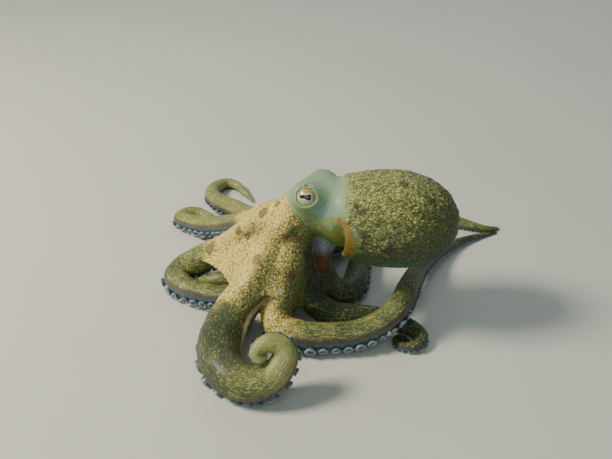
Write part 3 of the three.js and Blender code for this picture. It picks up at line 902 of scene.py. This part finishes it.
def keep_largest(points: Array, quads: Array) -> tuple[Array, Array]:
    """The largest connected piece of a mesh, facing outwards.

    Each point takes the lowest label among its neighbours until no label changes.
    """
    label = np.arange(len(points))
    while True:
        lowest = label[quads].min(axis=1)
        before = label.copy()
        for k in range(4):
            np.minimum.at(label, quads[:, k], lowest)
        label = label[label]
        if np.array_equal(label, before):
            break
    names, counts = np.unique(label, return_counts=True)
    kept = label == names[np.argmax(counts)]
    renumbered = np.cumsum(kept) - 1
    points, quads = points[kept], renumbered[quads[kept[quads[:, 0]]]]
    a, b, c, d = (points[quads[:, k]] for k in range(4))
    volume = np.sum(a * np.cross(b, c)) + np.sum(a * np.cross(c, d))
    return points, quads if volume > 0 else quads[:, ::-1]


def thin_out(piece: bpy.types.Object, most: int) -> None:
    """Collapses the flattest edges until a piece has at most so many triangles."""
    triangles = sum(len(p.vertices) - 2 for p in piece.data.polygons)
    if triangles <= most:
        return
    modifier = piece.modifiers.new("thin", "DECIMATE")
    modifier.ratio = most / triangles
    evaluated = piece.evaluated_get(bpy.context.evaluated_depsgraph_get())
    mesh = bpy.data.meshes.new_from_object(evaluated)
    piece.modifiers.clear()
    old, piece.data = piece.data, mesh
    bpy.data.meshes.remove(old)
    mesh.name = piece.name
    mesh.polygons.foreach_set("use_smooth", np.ones(len(mesh.polygons), bool))


# ---------------------------------------------------------------- suckers
@dataclass
class Suckers:
    """Two staggered rows of suckers under each arm, joined into one piece."""

    first_at: float = 30.0
    width: float = 0.7  # of the arm's radius
    spacing: float = 0.74
    apart: float = 40.0  # degrees of each row from the middle of the belly
    smallest: float = 1.1  # arm radius in millimetres where they end
    sides: int = 12

    def profile(self) -> Array:
        """Radius and height of one sucker of unit radius, from its foot over the rim to the cup."""
        return np.array([[0.78, -0.5], [0.72, 0.2], [0.96, 0.6], [1.0, 0.76], [0.82, 0.86], [0.55, 0.66],
            [0.34, 0.3], [0.02, 0.22]])  # fmt: skip

    def places(self) -> tuple[Array, ...]:
        """Middle, outward direction, direction of travel and radius of every sucker."""
        found: list[tuple[Array, Array, Array, float]] = []
        for arm in ARMS:
            s = self.first_at
            row = 1
            while s < arm.length - 2 and arm.radius[int(s)] > self.smallest:
                i = int(s)
                r = arm.radius[i]
                angle = math.radians(self.apart) * row
                out = -arm.back[i] * math.cos(angle) + arm.side[i] * math.sin(angle)
                belly = r / math.sqrt(math.sin(angle) ** 2 + (math.cos(angle) / BELLY_PRESS) ** 2)
                varied = 1.0 + 0.12 * math.sin(2.4 * len(found))
                found.append((arm.middle[i] + out * belly, out, arm.along[i], 0.5 * self.width * r * varied))
                s += 0.5 * self.spacing * r
                row = -row
        return tuple(np.array(column) for column in zip(*found))

    def build(self) -> bpy.types.Object:
        """Carries the profile round every sucker's own axis."""
        middle, out, along, size = self.places()
        across = np.cross(out, along)
        ring = self.profile()
        angle = np.linspace(0.0, 2.0 * np.pi, self.sides, endpoint=False)
        round_ = along[:, None, None] * np.cos(angle)[None, None, :, None]
        round_ = round_ + across[:, None, None] * np.sin(angle)[None, None, :, None]
        points = middle[:, None, None] + size[:, None, None, None] * (
            ring[None, :, None, :1] * round_ + ring[None, :, None, 1:] * out[:, None, None]
        )
        rows, sides, count = len(ring), self.sides, len(middle)
        i, j = np.meshgrid(np.arange(rows - 1), np.arange(sides), indexing="ij")
        quad = np.stack([i * sides + j, i * sides + (j + 1) % sides, (i + 1) * sides + (j + 1) % sides,
            (i + 1) * sides + j], axis=-1).reshape(-1, 4)  # fmt: skip
        faces = (quad[None] + (np.arange(count) * rows * sides)[:, None, None]).reshape(-1, 4)
        flat = points.reshape(-1, 3)
        flat[:, 2] = np.maximum(flat[:, 2], 0.05)
        piece = new_mesh("suckers", flat * MILLIMETRE, faces)
        cup = np.tile(np.repeat(np.linspace(0.0, 1.0, rows), sides), count)
        add_mark(piece, "cup", cup)
        return piece


# ---------------------------------------------------------------- shader writing
def pigment(colour: str) -> tuple[float, float, float, float]:
    """A #rrggbb colour as the linear numbers that a shader uses."""
    parts = [int(colour[k : k + 2], 16) / 255.0 for k in (1, 3, 5)]
    linear = [c / 12.92 if c <= 0.04045 else ((c + 0.055) / 1.055) ** 2.4 for c in parts]
    return (*linear, 1.0)


class Wire:
    """An output socket that adds Math nodes when it is used in an expression."""

    def __init__(self, graph: "Graph", socket: bpy.types.NodeSocket) -> None:
        """Keeps the socket and the material it is in."""
        self.graph = graph
        self.socket = socket

    def _math(self, operation: str, *values: Any) -> "Wire":
        """One Math node on these values."""
        return self.graph.node("ShaderNodeMath", {"operation": operation}, dict(enumerate(values)))

    def __add__(self, other: Any) -> "Wire":
        """Sum."""
        return self._math("ADD", self, other)

    __radd__ = __add__

    def __sub__(self, other: Any) -> "Wire":
        """Difference."""
        return self._math("SUBTRACT", self, other)

    def __rsub__(self, other: Any) -> "Wire":
        """Difference the other way round."""
        return self._math("SUBTRACT", other, self)

    def __mul__(self, other: Any) -> "Wire":
        """Product."""
        return self._math("MULTIPLY", self, other)

    __rmul__ = __mul__

    def __abs__(self) -> "Wire":
        """Size without the sign."""
        return self._math("ABSOLUTE", self)

    def steps(self, low: float, high: float) -> "Wire":
        """0 below low, 1 above high, with a smooth rise between; low may be above high."""
        settings = {"interpolation_type": "SMOOTHSTEP"}
        if low < high:
            return self.graph.node("ShaderNodeMapRange", settings, {0: self, 1: low, 2: high})
        return 1.0 - self.graph.node("ShaderNodeMapRange", settings, {0: self, 1: high, 2: low})

    def most(self, other: Any) -> "Wire":
        """The larger of two."""
        return self._math("MAXIMUM", self, other)


class Graph:
    """One material's nodes."""

    def __init__(self, name: str) -> None:
        """Starts a material with its output node alone."""
        self.material = bpy.data.materials.new(name)
        self.material.use_nodes = True
        self.tree = self.material.node_tree
        self.tree.nodes.clear()

    def node(self, kind: str, settings: dict[str, Any], inputs: dict[Any, Any], output: Any = 0) -> Wire:
        """Adds a node.

        Args:
            kind: the node's type.
            settings: its properties, set first.
            inputs: values or wires by socket name or number.
            output: name or number of the socket to return.

        Returns:
            The output as a wire.
        """
        made = self.tree.nodes.new(kind)
        for name, value in settings.items():
            setattr(made, name, value)
        for key, value in inputs.items():
            if isinstance(value, Wire):
                self.tree.links.new(value.socket, made.inputs[key])
            else:
                made.inputs[key].default_value = value
        return Wire(self, made.outputs[output])

    def mark(self, name: str) -> Wire:
        """A number that the piece's points carry."""
        return self.node("ShaderNodeAttribute", {"attribute_name": name}, {}, "Fac")

    def place(self, stretch: tuple[float, float, float] = (1.0, 1.0, 1.0)) -> Wire:
        """Object coordinates in millimetres, stretched."""
        where = self.node("ShaderNodeTexCoord", {}, {}, "Object")
        scale = tuple(1000.0 * s for s in stretch)
        return self.node("ShaderNodeMapping", {}, {"Vector": where, "Scale": scale})

    def join(self, x: Any, y: Any, z: Any) -> Wire:
        """Three numbers as a vector."""
        return self.node("ShaderNodeCombineXYZ", {}, {0: x, 1: y, 2: z})

    def noise(self, where: Wire, size: float, detail: float = 2.0, rough: float = 0.55) -> Wire:
        """Soft noise from 0 to 1, with lumps of about this size in millimetres."""
        inputs = {"Vector": where, "Scale": 1.0 / size, "Detail": detail, "Roughness": rough}
        return self.node("ShaderNodeTexNoise", {}, inputs, "Fac")

    def cells(self, where: Wire, size: float, feature: str = "F1") -> Wire:
        """Distance to the nearest cell point or edge, for cells of about this size in millimetres."""
        inputs = {"Vector": where, "Scale": 1.0 / size}
        return self.node("ShaderNodeTexVoronoi", {"feature": feature}, inputs, "Distance")

    def mix(self, first: Any, second: Any, share: Any) -> Wire:
        """Two colours, from the first at 0 to the second at 1."""
        return self.node("ShaderNodeMix", {"data_type": "RGBA"}, {0: share, 6: first, 7: second}, 2)

    def finish(self, shader: Wire) -> bpy.types.Material:
        """Ends the material in this shader."""
        output = self.tree.nodes.new("ShaderNodeOutputMaterial")
        self.tree.links.new(shader.socket, output.inputs["Surface"])
        return self.material


# ---------------------------------------------------------------- finishes
@dataclass(frozen=True)
class SkinColours:
    """The skin's colours, region by region."""

    sac_dark: str = "#1c240c"
    sac_olive: str = "#5d6c30"
    # pale cells, more of them on the side facing the light (painted light)
    sac_light: str = "#b4b56a"
    # painted shade on the side of the sac facing away from the light
    sac_belly: str = "#1c3a22"
    sac_rim: str = "#4f9a80"
    sac_blotch: str = "#3c2a10"
    crest_cream: str = "#ffea98"
    # painted light: the sandy ground where the crest faces the light
    crest_sand: str = "#c2aa50"
    crest_olive: str = "#727638"
    crest_dark: str = "#363e18"
    crest_brown: str = "#56300f"
    face_green: str = "#66805a"
    face_pale: str = "#88a584"
    # bluish painted shade behind the eye
    face_cool: str = "#5f8a92"
    face_lid: str = "#9aa67c"
    neck_green: str = "#5d6a20"
    neck_band: str = "#8a9040"
    neck_amber: str = "#8a6006"
    arm_dark: str = "#20290f"
    arm_olive: str = "#4f5f36"
    arm_light: str = "#8a9450"
    arm_fleck: str = "#ddc96a"
    arm_pale: str = "#a3a868"
    # painted shade on the arms' sheltered stretches
    arm_green: str = "#152c1c"
    arm_edge: str = "#4a3234"
    belly_pale: str = "#5d7684"
    funnel_lilac: str = "#757b8c"
    funnel_brown: str = "#5c3a1c"
    # painted shade for the fold along the crest's right edge
    fold_shade: str = "#12291f"
    rim_pink: str = "#b0a07c"


class SkinFinish:
    """Wet, mottled skin."""

    def __init__(self, colours: SkinColours) -> None:
        """Keeps the colours."""
        self.paint = {name: pigment(value) for name, value in vars(colours).items()}

    def material(self) -> bpy.types.Material:
        """The whole skin: a pattern for each region, laid over each other by the skin's marks."""
        g = Graph("octopus_skin")
        where = g.place()
        arms, arm_height = self._arms(g, where)
        crest, crest_height = self._crest(g, where)
        sac, sac_height = self._sac(g)
        face, face_height = self._face(g, where)
        on_sac, on_crest, on_face, on_funnel = (g.mark(n) for n in ("sac", "crest", "face", "funnel"))
        crested = on_crest.most(g.mark("web"))
        # the crest pattern stays off arm stretches under painted shade
        crested = crested.most(g.mark("run").steps(115.0, 60.0)) * (1.0 - g.mark("tone").steps(0.5, 0.8))
        crested = (crested + (g.noise(where, 6.0, 3.0) - 0.5) * 0.9).steps(0.3, 0.8)
        colour = g.mix(arms, crest, crested)
        # painted shade: dark blue-green laid in the fold along the crest's right edge
        fold_shade_share = (g.mark("fold_shade") + (g.noise(where, 6.0, 3.0) - 0.5) * 0.7).steps(0.2, 0.8)
        colour = g.mix(colour, self.paint["fold_shade"], fold_shade_share * 0.6)
        rim = (g.mark("rim") + g.noise(where, 2.0) * 0.3).steps(0.4, 0.8)
        colour = g.mix(colour, self.paint["rim_pink"], rim * 0.7)
        on_face = (on_face + (g.noise(where, 4.0) - 0.5) * 0.5 * on_face.steps(0.0, 0.2)).steps(0.2, 0.8)
        colour = g.mix(colour, face, on_face)
        colour = g.mix(colour, self._funnel(g, where), on_funnel)
        colour = g.mix(colour, sac, on_sac)
        ragged = (g.noise(where, 4.0, 3.0) - 0.5) * 0.35
        leaf = (g.mark("leaf") + ragged).steps(0.25, 0.8)
        colour = g.mix(colour, self.paint["neck_amber"], leaf * 0.8)
        core = (g.mark("leaf_core") + ragged).steps(0.2, 0.7)
        colour = g.mix(colour, self.paint["neck_green"], core * 0.8)
        height = arm_height * (1.0 - crested) + crest_height * crested
        height = height * (1.0 - on_face) + face_height * on_face
        height = height * (1.0 - on_sac) + sac_height * on_sac
        normal = g.node("ShaderNodeBump", {}, {"Strength": 1.0, "Distance": 0.0012, "Height": height})
        rough = 0.4 + 0.25 * g.noise(where, 3.0)
        shader = g.node(
            "ShaderNodeBsdfPrincipled",
            {},
            {
                "Base Color": colour,
                "Roughness": rough,
                "Normal": normal,
                "Coat Weight": 0.2,
                "Coat Roughness": 0.3,
                "Subsurface Weight": 0.04,
                "Subsurface Radius": (0.004, 0.003, 0.002),
                "Subsurface Scale": 1.0,
            },
        )
        return g.finish(shader)

    @staticmethod
    def _facing(g: Graph, x: float, y: float, z: float) -> Wire:
        """How far the surface faces a direction: 1 straight at it, -1 away from it."""
        normal = g.node("ShaderNodeNewGeometry", {}, {}, "Normal")
        inputs = {0: normal, 1: (x, y, z)}
        return g.node("ShaderNodeVectorMath", {"operation": "DOT_PRODUCT"}, inputs, "Value")

    def _sac(self, g: Graph) -> tuple[Wire, Wire]:
        """Pale scale-like cells in a dark net, drawn out along the sac, brown blotches, the cells paler on
        the side facing the key light (painted light) and dark green painted shade on the side facing away.
        """
        where = g.place((0.6, 1.0, 1.0))
        bent = g.node("ShaderNodeVectorMath", {"operation": "MULTIPLY_ADD"}, {
            0: g.node("ShaderNodeTexNoise", {}, {"Vector": where, "Scale": 0.16, "Detail": 2.0}, "Color"),
            1: (4.0, 4.0, 4.0), 2: where})  # fmt: skip
        net = g.cells(bent, 2.3, "DISTANCE_TO_EDGE")
        tint = g.node("ShaderNodeTexVoronoi", {}, {"Vector": bent, "Scale": 1.0 / 2.3}, "Color")
        cell = g.node("ShaderNodeSeparateXYZ", {}, {0: tint}, 0)
        patches = g.noise(where, 15.0, 3.0)
        specks = g.noise(where, 1.3, 3.0, 0.7)
        inside = net.steps(0.02, 0.2)
        # top: how far the surface faces the key light; it paints light on that side and shade on the other
        top = self._facing(g, -0.5, -0.25, 0.83)
        light = (0.6 * top + patches * 0.9 + (cell - 0.5) * 0.8 + (specks - 0.5) * 1.3).steps(0.35, 1.05)
        colour = g.mix(self.paint["sac_olive"], self.paint["sac_light"], light)
        # painted shade: dark green on the side facing away from the key light
        low = (top * -1.0 + (patches - 0.5) * 1.4 + (cell - 0.5) * 0.6).steps(-0.55, 0.3)
        colour = g.mix(colour, self.paint["sac_belly"], low * 0.8)
        torn = g.noise(where, 6.0, 4.0, 0.7)
        blotch = g.mark("blotch") * 0.5 + (torn - 0.5) * 2.4 + (specks - 0.5) * 0.7 - top * 0.15
        blotch = blotch.steps(0.1, 0.5)
        colour = g.mix(colour, self.paint["sac_blotch"], blotch * 0.7)
        between = (1.0 - inside + (0.5 - specks) * 0.8).steps(0.2, 0.9)
        colour = g.mix(colour, self.paint["sac_dark"], between * 0.62)
        rim = (self._facing(g, 0.0, -0.45, -0.89) + (patches - 0.5) * 0.3).steps(0.78, 1.0)
        colour = g.mix(colour, self.paint["sac_rim"], rim * 0.7)
        return colour, inside * 0.5 + specks * 0.45

    def _crest(self, g: Graph, where: Wire) -> tuple[Wire, Wire]:
        """Bright cream grains over olive, with brown blotches, sandy and brightest where the crest faces the
        key light (painted light).
        """
        grains = g.cells(where, 1.9)
        patches = g.noise(where, 18.0, 3.0)
        specks = g.noise(where, 1.7, 3.0, 0.7)
        # facing_light: how far the crest faces the key light; it paints light there
        facing_light = self._facing(g, -0.55, 0.1, 0.83) + (patches - 0.5) * 0.7
        ground = g.mix(self.paint["crest_olive"], self.paint["crest_sand"], facing_light.steps(0.1, 0.85))
        # the cream grains are partly pattern, partly painted light on the side facing the light
        bright = ((specks - 0.5) * 1.9 + (0.42 - grains) * 1.3 + facing_light * 0.6).steps(0.2, 0.85)
        colour = g.mix(ground, self.paint["crest_cream"], bright * 0.92)
        # darker grains, a little more of them on the side facing away from the light (painted shade)
        dim = ((0.5 - specks) * 1.9 + (grains - 0.45) * 1.1 - facing_light * 0.3).steps(-0.1, 0.4)
        colour = g.mix(colour, self.paint["crest_dark"], dim * 0.75)
        torn = g.noise(where, 5.0, 4.0, 0.7)
        blotch = (g.mark("blotch") * 1.1 + (torn - 0.5) * 2.4 + (specks - 0.5) * 0.9).steps(0.3, 0.8)
        colour = g.mix(colour, self.paint["crest_brown"], blotch * 0.72)
        return colour, grains * -0.9 + specks * 0.7

    def _face(self, g: Graph, where: Wire) -> tuple[Wire, Wire]:
        """Smooth green skin, paler on top where it faces the light (partly painted light), bluish painted
        shade behind the eye, and sandy round it.
        """
        soft = g.noise(where, 9.0, 3.0)
        fine = g.noise(where, 1.4, 3.0, 0.65)
        specks = g.noise(where, 0.9, 3.0, 0.75)
        # pale is partly painted light: the side facing the key light is paler
        pale = self._facing(g, -0.3, -0.2, 0.93) * 0.7 + soft * 0.7 + (fine - 0.5) * 0.7
        pale = pale + (specks - 0.5) * 0.5
        colour = g.mix(self.paint["face_green"], self.paint["face_pale"], pale.steps(0.3, 1.0))
        warm = ((g.noise(where, 12.0, 2.0) - 0.5) * 2.0 + (specks - 0.5) * 1.2).steps(0.1, 0.8)
        colour = g.mix(colour, self.paint["face_lid"], warm * 0.5)
        dim = ((0.5 - fine) * 1.6 + (0.5 - soft) * 0.8).steps(0.1, 0.6)
        colour = g.mix(colour, self.paint["neck_green"], dim * 0.45)
        # painted shade: bluish behind the eye
        colour = g.mix(colour, self.paint["face_cool"], g.mark("cool") * 0.6)
        height = g.node("ShaderNodeSeparateXYZ", {}, {0: where}, 2)
        low = (height + (soft - 0.5) * 14.0).steps(104.0, 90.0)
        colour = g.mix(colour, self.paint["neck_green"], low * 0.8)
        ragged = (fine - 0.5) * 0.5 + (soft - 0.5) * 0.6
        colour = g.mix(colour, self.paint["neck_band"], (g.mark("band") + ragged).steps(0.25, 0.7) * 0.7)
        colour = g.mix(colour, self.paint["face_lid"], g.mark("lid") * 0.45)
        blotch = (g.mark("blotch") + ragged * 1.6).steps(0.3, 0.75)
        colour = g.mix(colour, self.paint["crest_brown"], blotch * 0.65)
        return colour, fine * 0.6 + specks * 0.3

    def _arms(self, g: Graph, where: Wire) -> tuple[Wire, Wire]:
        """Fine streaks and yellow flecks along the backs, a dark edge, a pale belly, and dark green painted
        shade on sheltered stretches.
        """
        run, round_, taper = g.mark("run"), g.mark("round"), g.mark("taper")
        around = round_ * taper * math.pi
        streaks = g.noise(g.join(run * 0.13, around, 0.0), 1.3, 3.0, 0.65)
        flecks = g.noise(g.join(run * 0.3, around, 7.0), 0.9, 2.0, 0.6)
        fine = g.noise(where, 1.3, 3.0, 0.7)
        patches = g.noise(where, 13.0, 2.0)
        tone = g.mark("tone")
        light = (streaks + (patches - 0.5) * 0.35 + (fine - 0.5) * 0.6).steps(0.4, 0.75)
        colour = g.mix(self.paint["arm_olive"], self.paint["arm_light"], light)
        dark = ((0.5 - streaks) * 1.5 + (0.5 - patches) * 0.4 + (0.5 - fine) * 1.0).steps(0.0, 0.4)
        colour = g.mix(colour, self.paint["arm_dark"], dark * 0.85)
        # painted shade: dark green where tone is above 0, on stretches sheltered under the mantle and other
        # arms; paler where it is below 0
        colour = g.mix(colour, self.paint["arm_green"], tone.steps(0.0, 1.0) * 0.8)
        colour = g.mix(colour, self.paint["arm_pale"], (tone * -1.0).steps(0.0, 1.0) * 0.75)
        fleck = (flecks + (fine - 0.5) * 0.5 + (patches - 0.5) * 0.3).steps(0.56, 0.68)
        # the flecks are dimmer under the painted shade
        colour = g.mix(colour, self.paint["arm_fleck"], fleck * (0.7 - 0.25 * tone))
        edge = (abs(round_) + (fine - 0.5) * 0.06).steps(0.44, 0.53)
        colour = g.mix(colour, self.paint["arm_edge"], edge * 0.75)
        belly = (abs(round_) + (fine - 0.5) * 0.06).steps(0.56, 0.64)
        colour = g.mix(colour, self.paint["belly_pale"], belly * 0.75)
        return colour, streaks * 0.9 + flecks * 0.5 + fine * 0.4

    def _funnel(self, g: Graph, where: Wire) -> Wire:
        """Lilac grey above, brown towards the open end."""
        height = g.node("ShaderNodeSeparateXYZ", {}, {0: where}, 2)
        low = (height + g.noise(where, 6.0, 2.0) * 8.0).steps(76.0, 64.0)
        return g.mix(self.paint["funnel_lilac"], self.paint["funnel_brown"], low)


@dataclass(frozen=True)
class SuckerFinish:
    """Pale, wet suckers, with painted shade in the cup."""

    rim_blue: str = "#657a8c"
    rim_pale: str = "#98a8ac"
    # painted shade for the cup and the foot
    cup: str = "#32465a"
    foot: str = "#3b5264"

    def material(self) -> bpy.types.Material:
        """Blue grey rims, with painted shade in the cup and at the foot."""
        g = Graph("sucker_skin")
        where = g.place()
        cup = g.mark("cup")
        soft = g.noise(where, 7.0, 2.0)
        rim = g.mix(pigment(self.rim_blue), pigment(self.rim_pale), soft.steps(0.35, 0.65))
        # painted shade in the cup and at the foot
        colour = g.mix(rim, pigment(self.cup), cup.steps(0.62, 0.85) * 0.85)
        colour = g.mix(colour, pigment(self.foot), cup.steps(0.42, 0.22) * 0.85)
        rough = 0.35 + 0.15 * soft
        shader = g.node("ShaderNodeBsdfPrincipled", {}, {
            "Base Color": colour, "Roughness": rough,
            "Coat Weight": 0.3, "Coat Roughness": 0.2})  # fmt: skip
        return g.finish(shader)


@dataclass(frozen=True)
class EyeFinish:
    """A golden iris round a dark, level pupil with a white edge, under a clear wet surface."""

    iris_olive: str = "#9a9a66"
    iris_straw: str = "#c9c48c"
    gold: str = "#cf8a2c"
    border: str = "#8fa07e"
    white: str = "#e3e6d8"
    pupil: str = "#060a20"

    def material(self, eye: Eye) -> bpy.types.Material:
        """Draws the pupil as a bar, taller at its hind end, from the ball's level and upright marks."""
        g = Graph(eye.name + "_surface")
        across, upward = g.mark("across"), g.mark("upward")
        where = g.place()
        fine = g.noise(where, 0.7, 3.0, 0.7)
        beyond = (abs(across) - eye.pupil_half).most(0.0)
        wide = eye.pupil_narrow + (eye.pupil_wide - eye.pupil_narrow) * (across * eye.rear).steps(-1.0, 3.2)
        edge = (abs(upward) - wide).most(beyond * 2.0 - 0.4)
        ring = g.join(across * 0.5, upward * 0.5, 0.0)
        rays = g.noise(ring, 0.5, 3.0, 0.7)
        streaked = (rays + (fine - 0.5) * 0.5).steps(0.3, 0.65)
        iris = g.mix(pigment(self.iris_olive), pigment(self.iris_straw), streaked)
        rising = (upward + (rays - 0.5) * 2.0).steps(-0.5, 2.5)
        gold = rising * (g.mark("away") + (fine - 0.5)).steps(2.6, 4.4)
        iris = g.mix(iris, pigment(self.gold), gold * 0.8)
        outer = (g.mark("away") + (fine - 0.5) * 0.8).steps(5.6, 6.8)
        iris = g.mix(iris, pigment(self.border), outer)
        pale_edge = (edge + (fine - 0.5) * 0.3).steps(0.95, 0.5)
        colour = g.mix(iris, pigment(self.white), pale_edge * 0.9)
        colour = g.mix(colour, pigment(self.pupil), edge.steps(0.25, 0.1))
        shader = g.node("ShaderNodeBsdfPrincipled", {}, {
            "Base Color": colour, "Roughness": 0.3,
            "Coat Weight": 1.0, "Coat Roughness": 0.03})  # fmt: skip
        return g.finish(shader)


def build_eye(eye: Eye) -> bpy.types.Object:
    """A ball on a grid of polar angle and turn about its outward axis, bulging a little in front.

    p = c + R (cos a * out + sin a (cos b * level + sin b * up)), the rows closer together in front.
    """
    rows, turns = 64, 96
    a = np.pi * np.linspace(0.004, 0.999, rows) ** 1.35
    b = np.linspace(0.0, 2.0 * np.pi, turns, endpoint=False)
    a, b = np.meshgrid(a, b, indexing="ij")
    across = eye.radius * np.sin(a) * np.cos(b)
    upward = eye.radius * np.sin(a) * np.sin(b)
    depth = eye.radius * np.cos(a)
    front = smooth(0.0, 4.0, depth)
    bulge = 1.0 + 0.03 * front
    points = eye.place + (
        (depth * bulge)[..., None] * eye.out + across[..., None] * eye.level + upward[..., None] * eye.up
    )
    i, j = np.meshgrid(np.arange(rows - 1), np.arange(turns), indexing="ij")
    k = (j + 1) % turns
    faces = np.stack([i * turns + j, (i + 1) * turns + j, (i + 1) * turns + k, i * turns + k], axis=-1)
    caps = np.vstack([points[0].mean(axis=0), points[-1].mean(axis=0)])
    flat = np.vstack([points.reshape(-1, 3), caps])
    turn = np.arange(turns)
    following = (turn + 1) % turns
    first, last = len(flat) - 2, len(flat) - 1
    bottom = (rows - 1) * turns
    front_fan = np.stack([np.full(turns, first), turn, following], axis=1)
    hind_fan = np.stack([np.full(turns, last), bottom + following, bottom + turn], axis=1)
    sides = faces.reshape(-1, 4).tolist() + front_fan.tolist() + hind_fan.tolist()
    mesh = bpy.data.meshes.new(eye.name)
    mesh.from_pydata((flat * MILLIMETRE).tolist(), [], sides)
    mesh.polygons.foreach_set("use_smooth", np.ones(len(mesh.polygons), bool))
    mesh.update()
    piece = bpy.data.objects.new(eye.name + "_ball", mesh)
    bpy.context.scene.collection.objects.link(piece)
    offset = flat - eye.place
    hidden = np.where(offset @ eye.out > 0, 0.0, eye.HIDDEN)
    add_mark(piece, "across", offset @ eye.level)
    add_mark(piece, "upward", offset @ eye.up + hidden)
    from_axis = np.linalg.norm(offset - np.outer(offset @ eye.out, eye.out), axis=1)
    add_mark(piece, "away", from_axis + hidden)
    piece.data.materials.append(EyeFinish().material(eye))
    return piece


# ---------------------------------------------------------------- the studio
@dataclass
class Studio:
    """A pale floor, soft light and the camera."""

    camera_at: tuple[float, float, float] = (0.0, -548.6, 409.6)
    pitch: float = 31.0  # degrees below level
    focal: float = 760.0  # in pixels of a picture 612 wide
    picture: tuple[int, int] = (612, 459)
    sensor: float = 36.0

    def camera(self) -> None:
        """Sets the camera, level and looking along +Y."""
        lens = bpy.data.cameras.new("camera")
        lens.sensor_fit = "HORIZONTAL"
        lens.sensor_width = self.sensor
        lens.lens = self.focal / self.picture[0] * self.sensor
        lens.clip_start = 0.01
        made = bpy.data.objects.new("camera", lens)
        made.location = (np.array(self.camera_at) - MIDDLE) * MILLIMETRE
        made.rotation_euler = (math.radians(90.0 - self.pitch), 0.0, 0.0)
        bpy.context.scene.collection.objects.link(made)
        bpy.context.scene.camera = made

    def floor(self) -> None:
        """A wide pale floor at the level that the animal rests on."""
        half = 6.0
        corners = np.array([[-half, -half, 0], [half, -half, 0], [half, half, 0], [-half, half, 0]])
        plane = new_mesh("floor", corners, np.array([[0, 1, 2, 3]]))
        g = Graph("studio_floor")
        tone = g.mix(pigment("#c9cbc6"), pigment("#cfd1cc"), g.noise(g.place(), 180.0))
        plane.data.materials.append(g.finish(g.node("ShaderNodeBsdfPrincipled", {}, {
            "Base Color": tone, "Roughness": 0.85})))  # fmt: skip
        plane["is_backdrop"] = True

    def light(self, name: str, at: tuple[float, float, float], size: float, watts: float, tint: str) -> None:
        """One square soft light, aimed at the animal."""
        lamp = bpy.data.lights.new(name, "AREA")
        lamp.size = size
        lamp.energy = watts
        lamp.color = pigment(tint)[:3]
        made = bpy.data.objects.new(name, lamp)
        made.location = at
        towards = unit(np.array([0.0, 0.0, 0.06]) - np.array(at))
        tilt = math.acos(-towards[2])
        made.rotation_euler = (tilt, 0.0, math.atan2(-towards[0], towards[1]))
        bpy.context.scene.collection.objects.link(made)

    def build(self) -> None:
        """Puts up the camera, the floor, the lights and a dim even surround."""
        self.camera()
        self.floor()
        self.light("key", (-1.25, -0.1, 1.2), 0.45, 36.0, "#fff5da")
        self.light("fill", (-0.3, -1.6, 1.2), 1.4, 8.0, "#e2f2ea")
        self.light("rim", (0.5, 1.3, 1.3), 0.9, 5.0, "#e4f4f4")
        world = bpy.data.worlds.new("surround")
        world.use_nodes = True
        world.node_tree.nodes["Background"].inputs["Color"].default_value = pigment("#dfe6e4")
        world.node_tree.nodes["Background"].inputs["Strength"].default_value = 0.3
        bpy.context.scene.world = world


# ---------------------------------------------------------------- putting it together
def clear_scene() -> None:
    """Takes away whatever the file started with."""
    for thing in list(bpy.data.objects):
        bpy.data.objects.remove(thing)


def main() -> None:
    """Builds every piece in order."""
    logging.basicConfig(level=logging.INFO, format="%(name)s: %(message)s")
    clear_scene()
    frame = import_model()
    Studio().build()
    skin = Skin().build()
    skin.data.materials.append(SkinFinish(SkinColours()).material())
    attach(skin, "root")
    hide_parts(*[name for name in frame["nodes"] if not name.startswith("eye")])
    LOG.info("skin: %d faces", len(skin.data.polygons))
    suckers = Suckers().build()
    suckers.data.materials.append(SuckerFinish().material())
    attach(suckers, "root")
    LOG.info("suckers: %d faces", len(suckers.data.polygons))
    for eye in EYES:
        ball = build_eye(eye)
        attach(ball, "root")
        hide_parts(eye.name)
        LOG.info("%s: %d faces", eye.name, len(ball.data.polygons))


if __name__ == "__main__":
    main()
